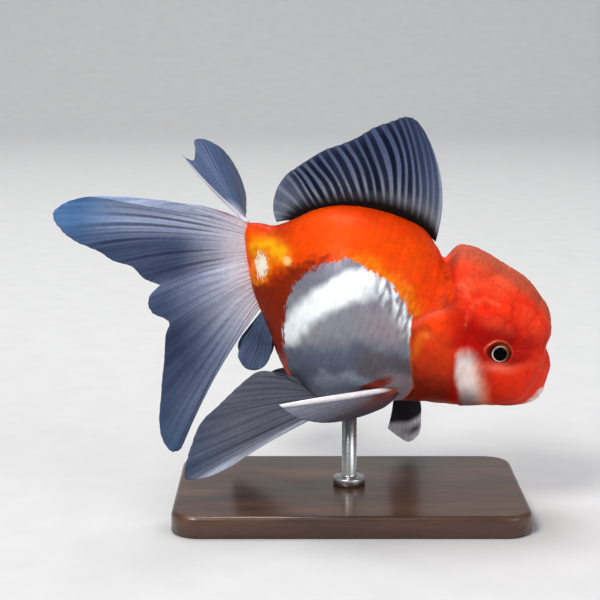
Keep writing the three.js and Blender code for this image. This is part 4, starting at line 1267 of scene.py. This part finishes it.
def make_fin(name):
    """A fin as one closed blade: rays stand out, the web between them sinks and darkens."""
    fin, look = FINS[name], FIN_LOOKS[name]
    rays = look["rays"]
    wide = rays * BLADE["points"] + 1
    across = np.linspace(0, 1, wide)[None, :]
    along = np.linspace(0, 1, look["steps"])[:, None] ** 0.9
    place = np.stack(np.broadcast_arrays(across * 40, along * 9, 0 * across), -1)
    wander = 0.22 * waves(place, 9, 61 + rays) * step(0, 0.6, along)
    crowd = 3 * across**14 * (name == "dorsal_fin")
    cell = across * rays + wander + crowd
    number = np.floor(cell)
    part = np.abs(cell - number - 0.5)
    gap = np.abs(cell - np.round(cell))
    bold = 1.06 - look["uneven"] * uneven(np.round(cell), rays)
    fade = 1 - look["uneven"] * (0.35 - 0.35 * waves(place + 50, 7, 66))
    wide_web = look["web"] * (0.85 + 0.3 * uneven(np.round(cell), 3))
    web = step(wide_web, wide_web - 0.16 - 0.04 * (name == "dorsal_fin"), gap)
    web = np.clip(web * bold * fade, 0, 1)
    split = step(0.30, 0.65, along) * bell(part, 0.09) * (0.35 + 0.65 * uneven(number, 9))
    ray = (1 - web) * (1 - 0.55 * split)
    spine_wide = 1.15 * look["spine_wide"] * (1 - look["taper"] * along)
    spine = step(spine_wide, 0.3 * spine_wide, across)

    out = along * (1 + look["fray"] * (ray - 0.6) * step(0.8, 1, along))
    middle = fin_point(fin, across, out)
    normal = fin_normal(fin, across, np.broadcast_to(along, ray.shape))
    pleat = BLADE["pleat"] * (ray - 0.6) * step(0.05, 0.4, along) * step(1.2, 0.7, along)
    middle = middle + normal * (fin_wave(fin, across, along) + pleat)[..., None]
    thin = BLADE["half"] - BLADE["loss"] * along
    round_spine = np.sqrt(np.clip(1 - (across / spine_wide - 0.5) ** 2 * 4, 0, 1))
    half = thin * (0.55 + 0.45 * ray) + 0.10 * ray * (1 - along)
    half = half + look["spine"] * round_spine * (1 - 0.75 * along)
    half = half * step(1.04, 0.96, along) * step(-0.006, 0.015, np.minimum(across, 1 - across))
    half = half + BLADE["least"]
    front = middle + normal * half[..., None]
    back = middle - normal * half[..., None]
    ring = np.concatenate([front, back[:, ::-1]], 1)

    run = np.linalg.norm(np.diff(middle, axis=0, prepend=middle[:1]), axis=-1)
    reach = np.cumsum(run, axis=0)
    tint = fin_tint(name, look, across, reach, along, ray, web, split, spine)
    alpha = 1 - look["clear"] * step(0.7, 1.0, along) * (1 - ray) * (1 - spine)
    finish = np.stack([0.04 + 0 * alpha, 0.42 + 0.10 * web, alpha], -1)
    layers = {"tint": tint, "finish": finish}
    layers = {key: np.concatenate([v, v[:, ::-1]], 1) for key, v in layers.items()}

    rows, cols = ring.shape[:2]
    quads, flat = grid(rows, cols, True)
    u = np.concatenate([np.linspace(0.005, 0.49, wide), np.linspace(0.51, 0.995, wide), [1.0]])
    faces = [quads[:, ::-1]]
    uv = [sheet_map(u, np.linspace(0.012, 0.988, rows))[flat[:, ::-1]].reshape(-1, 2)]
    k = np.arange(wide - 1)
    for first, low, high, way in ((0, 0.001, 0.009, 1), ((rows - 1) * cols, 0.991, 0.999, -1)):
        cap = first + np.stack([k, k + 1, cols - 2 - k, cols - 1 - k], 1)
        at = np.stack([u[k], u[k + 1], u[k + 1], u[k]], 1)
        corner = np.stack([at, np.broadcast_to([low, low, high, high], at.shape)], -1)
        faces.append(cap[:, ::way])
        uv.append(corner[:, ::way].reshape(-1, 2))
    nodes = (f"{name}_upper", f"{name}_lower") if "fans" in fin else (name,)
    points, faces, uv = placed(ring.reshape(-1, 3)), np.concatenate(faces).tolist(), np.concatenate(uv)
    return make_mesh(f"{name}_web", points, faces, uv, layers, FIN, nodes)


# ---------------------------------------------------------------- eyes
PUPIL = colour(1, 1, 1)
IRIS = colour(62, 20, 8)
IRIS_SPOKES = colour(120, 62, 22)
IRIS_LIGHT = colour(150, 70, 24)
SOCKET_SHADE = colour(66, 12, 6)
SILVER = colour(255, 238, 234)
SHADED_SILVER = colour(112, 68, 54)
LID_INSIDE_SHADE = colour(92, 18, 6)
LID_INSIDE_LIT = colour(156, 56, 16)
LID_CREST_HIGHLIGHT = colour(236, 116, 88)


def eye_faces(rows, cols, side):
    """The quads of a ring grid, turned to face outward on either side."""
    quads, flat = grid(rows, cols, True)
    return (quads, flat) if side > 0 else (quads[:, ::-1], flat[:, ::-1])


def make_eye(side, name):
    """A ball with a black pupil, a thin silver ring with painted light towards its rear, a brown iris, and
    painted shade towards the socket.
    """
    rows, cols = 110, 96
    polar = np.linspace(0.004, math.pi * 0.72, rows)[:, None]
    around = circle(cols)
    r = EYE["radius"] * np.sin(polar) + np.where(polar < math.pi / 2, 0, 9)
    full = EYE["radius"] + 0.14 * step(2.3, 1.0, r) + 0.07 * bell(r - 2.4, 0.25)
    full = full - 0.05 * bell(r - 2.16, 0.1) - 0.12 * step(2.7, 3.1, r)
    points = np.stack([
        EYE["along"] + full * np.sin(polar) * np.cos(around),
        side * (EYE["out"] + full * np.cos(polar)) + 0 * around,
        EYE["up"] + full * np.sin(polar) * np.sin(around),
    ], -1)
    spokes = 0.5 + 0.5 * np.cos(around * 34 + 2.2 * np.sin(around * 5))
    ring = step(2.14, 2.22, r) * step(2.58, 2.36, r) + 0 * around
    # Painted light and shade on the silver ring: bright towards the rear, dull towards the front.
    silver = mixed(SHADED_SILVER, SILVER, 0.5 - 0.5 * np.cos(around - 0.35))
    tint = painted(
        IRIS,
        (IRIS_SPOKES, 0.5 * spokes),
        (IRIS_LIGHT, 0.6 * bell(around - math.pi / 2, 0.9)),
        # Painted shade where the ball goes under the socket's skin.
        (SOCKET_SHADE, step(3.1, 3.6, r)),
        (silver, ring * (0.85 + 0.15 * spokes)),
        (PUPIL, step(2.22, 2.13, r)),
    )
    layers = {"tint": tint, "finish": np.stack([0.6 * ring, 0.34 + 0 * ring], -1)}
    quads, flat = eye_faces(rows, cols, side)
    pole = list(range(cols))[::-side]
    rim = [(rows - 1) * cols + j for j in range(cols)][::side]
    spin = np.arange(cols)
    pole_map = 0.5 + 0.0005 * np.stack([np.cos(spin), np.sin(spin)], -1)
    rim_map = np.stack([0.01 + 0.0001 * spin, 0.01 + 0 * spin], -1)
    uv = [dish_map(np.linspace(0, 0.49, rows), cols)[flat].reshape(-1, 2), pole_map, rim_map]
    return make_mesh(
        name, placed(points.reshape(-1, 3)), quads.tolist() + [pole, rim], np.concatenate(uv), layers,
        EYE_GLOSS, ("eye_left" if side > 0 else "eye_right",),
    )


# The crest of the skin round the eye, an almond set a little back and up.
FOLD = {"long": 4.3, "tall": 3.45, "back": 0.45, "up": 0.4}


def make_eye_fold(side, name):
    """The ring of skin round the eye: painted shade in dark red inside, lighter at the top, with a thin
    painted highlight on its lit crest.
    """
    rows, cols = 34, 144
    r = np.linspace(-1.35, 1.9, rows)[:, None]
    around = circle(cols)
    wobble = 0.06 * np.sin(3 * around + 1) + 0.04 * np.sin(7 * around) + 0.35 * bell(around - 3.3, 0.4)
    x = EYE["along"] - FOLD["back"] + (FOLD["long"] + r + wobble) * np.cos(around)
    z = EYE["up"] + FOLD["up"] + (FOLD["tall"] + r + wobble) * np.sin(around)
    angle = angle_at_height(x, z, side)
    high = (0.42 - 0.26 * bell(around - 4.9, 0.9)) * bell(r, 0.30) + 0.26 * bell(r, 0.9)
    high = high - 0.75 * step(-0.25, -1.1, r) - 0.4 * step(1.1, 1.9, r)
    high = high + 0.05 * waves(np.stack([x, 0 * x, z], -1), 1.6, 81)
    layers = markings(body_point(x, angle))
    # Painted shade inside the ring, lighter at its top, and a painted highlight on the crest where it is
    # lit.
    inside = mixed(LID_INSIDE_SHADE, LID_INSIDE_LIT, bell(around - 1.6, 0.8))
    lit = 0.05 + 0.65 * bell(around - 2.6, 0.7) + 0.35 * bell(around - 1.2, 0.8)
    layers["tint"] = painted(
        layers["tint"],
        (inside, 0.92 * step(-0.1, -0.6, r)),
        (LID_CREST_HIGHLIGHT, bell(r - 0.15, 0.34) * lit),
    )
    quads, flat = eye_faces(rows, cols, side)
    uv = dish_map(np.linspace(0.2, 0.49, rows), cols)[flat].reshape(-1, 2)
    points = placed(on_body(x, angle, high, False).reshape(-1, 3))
    return make_mesh(name, points, quads.tolist(), uv, layers, SKIN)


# ---------------------------------------------------------------- the stand
# The base's rounded corners and eased edge, and the rod and its collar, in metres.
BASE = {"corner": 0.009, "eased": 0.0016, "chamfer": 0.0006}
ROD = {"radius": 0.0024, "collar": 0.0026, "sunk": 0.0003, "into_belly": 0.0012}


def lathe(profile, cols):
    """Points of a turned shape about the vertical through the rod, in metres."""
    r, z = np.array(profile).T[:, :, None]
    around = circle(cols)
    return np.stack([r * np.cos(around), r * np.sin(around), z + 0 * around], -1)


def closed_rings(name, rings, material, node):
    """A closed piece from stacked rings, capped at both ends."""
    rows, cols = rings.shape[:2]
    quads, flat = grid(rows, cols, True)
    sheet = sheet_map(np.linspace(0.01, 0.99, cols + 1), np.linspace(0.3, 0.99, rows))
    caps = [list(range(cols))[::-1], [(rows - 1) * cols + j for j in range(cols)]]
    turn = circle(cols)[0]
    disc = np.stack([np.cos(turn), np.sin(turn)], -1) * 0.12
    uv = np.concatenate([sheet[flat].reshape(-1, 2), disc[::-1] + 0.14, disc + (0.5, 0.14)])
    points = rings.reshape(-1, 3)
    piece = make_mesh(name, points, quads.tolist() + caps, uv, {}, material, (node,))
    for polygon in piece.data.polygons[-2:]:
        polygon.use_smooth = False
    return piece


def make_base():
    """A flat walnut base with rounded corners and an eased top edge."""
    low, high = (np.array(corner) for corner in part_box("stand_base"))
    centre, half, height = (low + high) / 2, (high - low) / 2, high[2] - low[2]
    corner, eased, chamfer = BASE["corner"], BASE["eased"], BASE["chamfer"]
    section = [(chamfer, 0.0), (0.0, chamfer), (0.0, height - eased)]
    for k in range(1, 9):
        a = k / 8 * math.pi / 2
        section.append((eased * (1 - math.cos(a)), height - eased + eased * math.sin(a)))
    rings = []
    for inset, z in section:
        ring = []
        for quarter, (sx, sy) in enumerate(((1, 1), (-1, 1), (-1, -1), (1, -1))):
            for a in np.linspace(0, math.pi / 2, 13) + quarter * math.pi / 2:
                ring.append((
                    centre[0] + sx * (half[0] - corner) + (corner - inset) * math.cos(a),
                    centre[1] + sy * (half[1] - corner) + (corner - inset) * math.sin(a),
                    low[2] + z,
                ))
        rings.append(ring)
    return closed_rings("stand_base_walnut", np.array(rings), WALNUT, "stand_base")


def make_rod():
    """The steel rod and its collar, turned in one piece."""
    low, high = (np.array(corner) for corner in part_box("stand_rod"))
    collar, rod, tall = (high[0] - low[0]) / 2, ROD["radius"], ROD["collar"]
    profile = [
        (collar, -ROD["sunk"]), (collar, tall - 0.0005), (collar - 0.00015, tall - 0.00015),
        (collar - 0.0005, tall), (rod + 0.0007, tall), (rod + 0.0002, tall + 0.0002),
        (rod, tall + 0.0007), (rod, high[2] - low[2] + ROD["into_belly"]),
    ]
    rings = lathe(profile, 72) + np.array([(high[0] + low[0]) / 2, (high[1] + low[1]) / 2, low[2]])
    return closed_rings("stand_rod_steel", rings, STEEL, "stand_rod")


make_skin()
make_scales(-1, "scales_right")
make_scales(1, "scales_left")
for fin_name in FINS:
    make_fin(fin_name)
for side, word in ((-1, "right"), (1, "left")):
    make_eye(side, f"eye_{word}_ball")
    make_eye_fold(side, f"eye_{word}_fold")
make_base()
make_rod()


# ---------------------------------------------------------------- floor, light and camera
def make_stage():
    """A pale floor that curves up far behind."""
    profile = [(-2.5, 0.0), (1.6, 0.0)]
    for k in range(1, 25):
        a = k / 24 * math.pi / 2
        profile.append((1.6 + 0.9 * math.sin(a), 0.9 * (1 - math.cos(a))))
    profile.append((2.5, 3.5))
    points = [(x, y, z) for x in (-4, 4) for y, z in profile]
    count = len(profile)
    faces = [(k, count + k, count + k + 1, k + 1) for k in range(count - 1)]
    mesh = bpy.data.meshes.new("floor")
    mesh.from_pydata(points, [], faces)
    mesh.polygons.foreach_set("use_smooth", np.ones(len(faces), bool))
    n = Nodes("floor_paper")
    tint = n.ramp(n.noise(60, 3), [(0.3, (0.52, 0.52, 0.525)), (0.7, (0.55, 0.55, 0.552))])
    n.set(Base_Color=tint, Roughness=0.8)
    mesh.materials.append(n.material)
    add_object("floor", mesh)


# The camera looks at a point a little behind and above the fish's own origin.
TARGET = Vector((ORIGIN + np.array([-14.41, 0, 1.63])) / 1000)
CAMERA = {"away": 0.5333, "above": math.radians(10), "lens": 100, "sensor": 36}


def look_back(made, place):
    """Sets it at a place measured from the target, facing the target."""
    made.location = TARGET + Vector(place)
    made.rotation_euler = (-Vector(place)).to_track_quat("-Z", "Y").to_euler()


def add_light(name, place, size, power, tint=(1, 1, 1)):
    data = bpy.data.lights.new(name, "AREA")
    data.shape = "DISK"
    data.size = size
    data.energy = power
    data.color = tint
    look_back(add_object(name, data), place)


def make_camera():
    data = bpy.data.cameras.new("camera")
    data.lens, data.sensor_width = CAMERA["lens"], CAMERA["sensor"]
    data.clip_start = 0.01
    camera = add_object("camera", data)
    above = CAMERA["above"]
    look_back(camera, Vector((0, -math.cos(above), math.sin(above))) * CAMERA["away"])
    bpy.context.scene.camera = camera


make_stage()
add_light("key", (-1.0, -1.3, 1.9), 0.9, 50.0, (1.0, 0.98, 0.95))
add_light("fill", (1.4, -1.3, 1.0), 1.6, 14.0, (0.95, 0.97, 1.0))
add_light("top", (-0.2, 0.7, 1.9), 1.0, 30.0)
world = bpy.data.worlds.new("studio")
world.use_nodes = True
world.node_tree.nodes["Background"].inputs["Color"].default_value = (0.86, 0.89, 0.93, 1)
world.node_tree.nodes["Background"].inputs["Strength"].default_value = 0.34
bpy.context.scene.world = world
bpy.context.scene.view_settings.view_transform = "Standard"
make_camera()
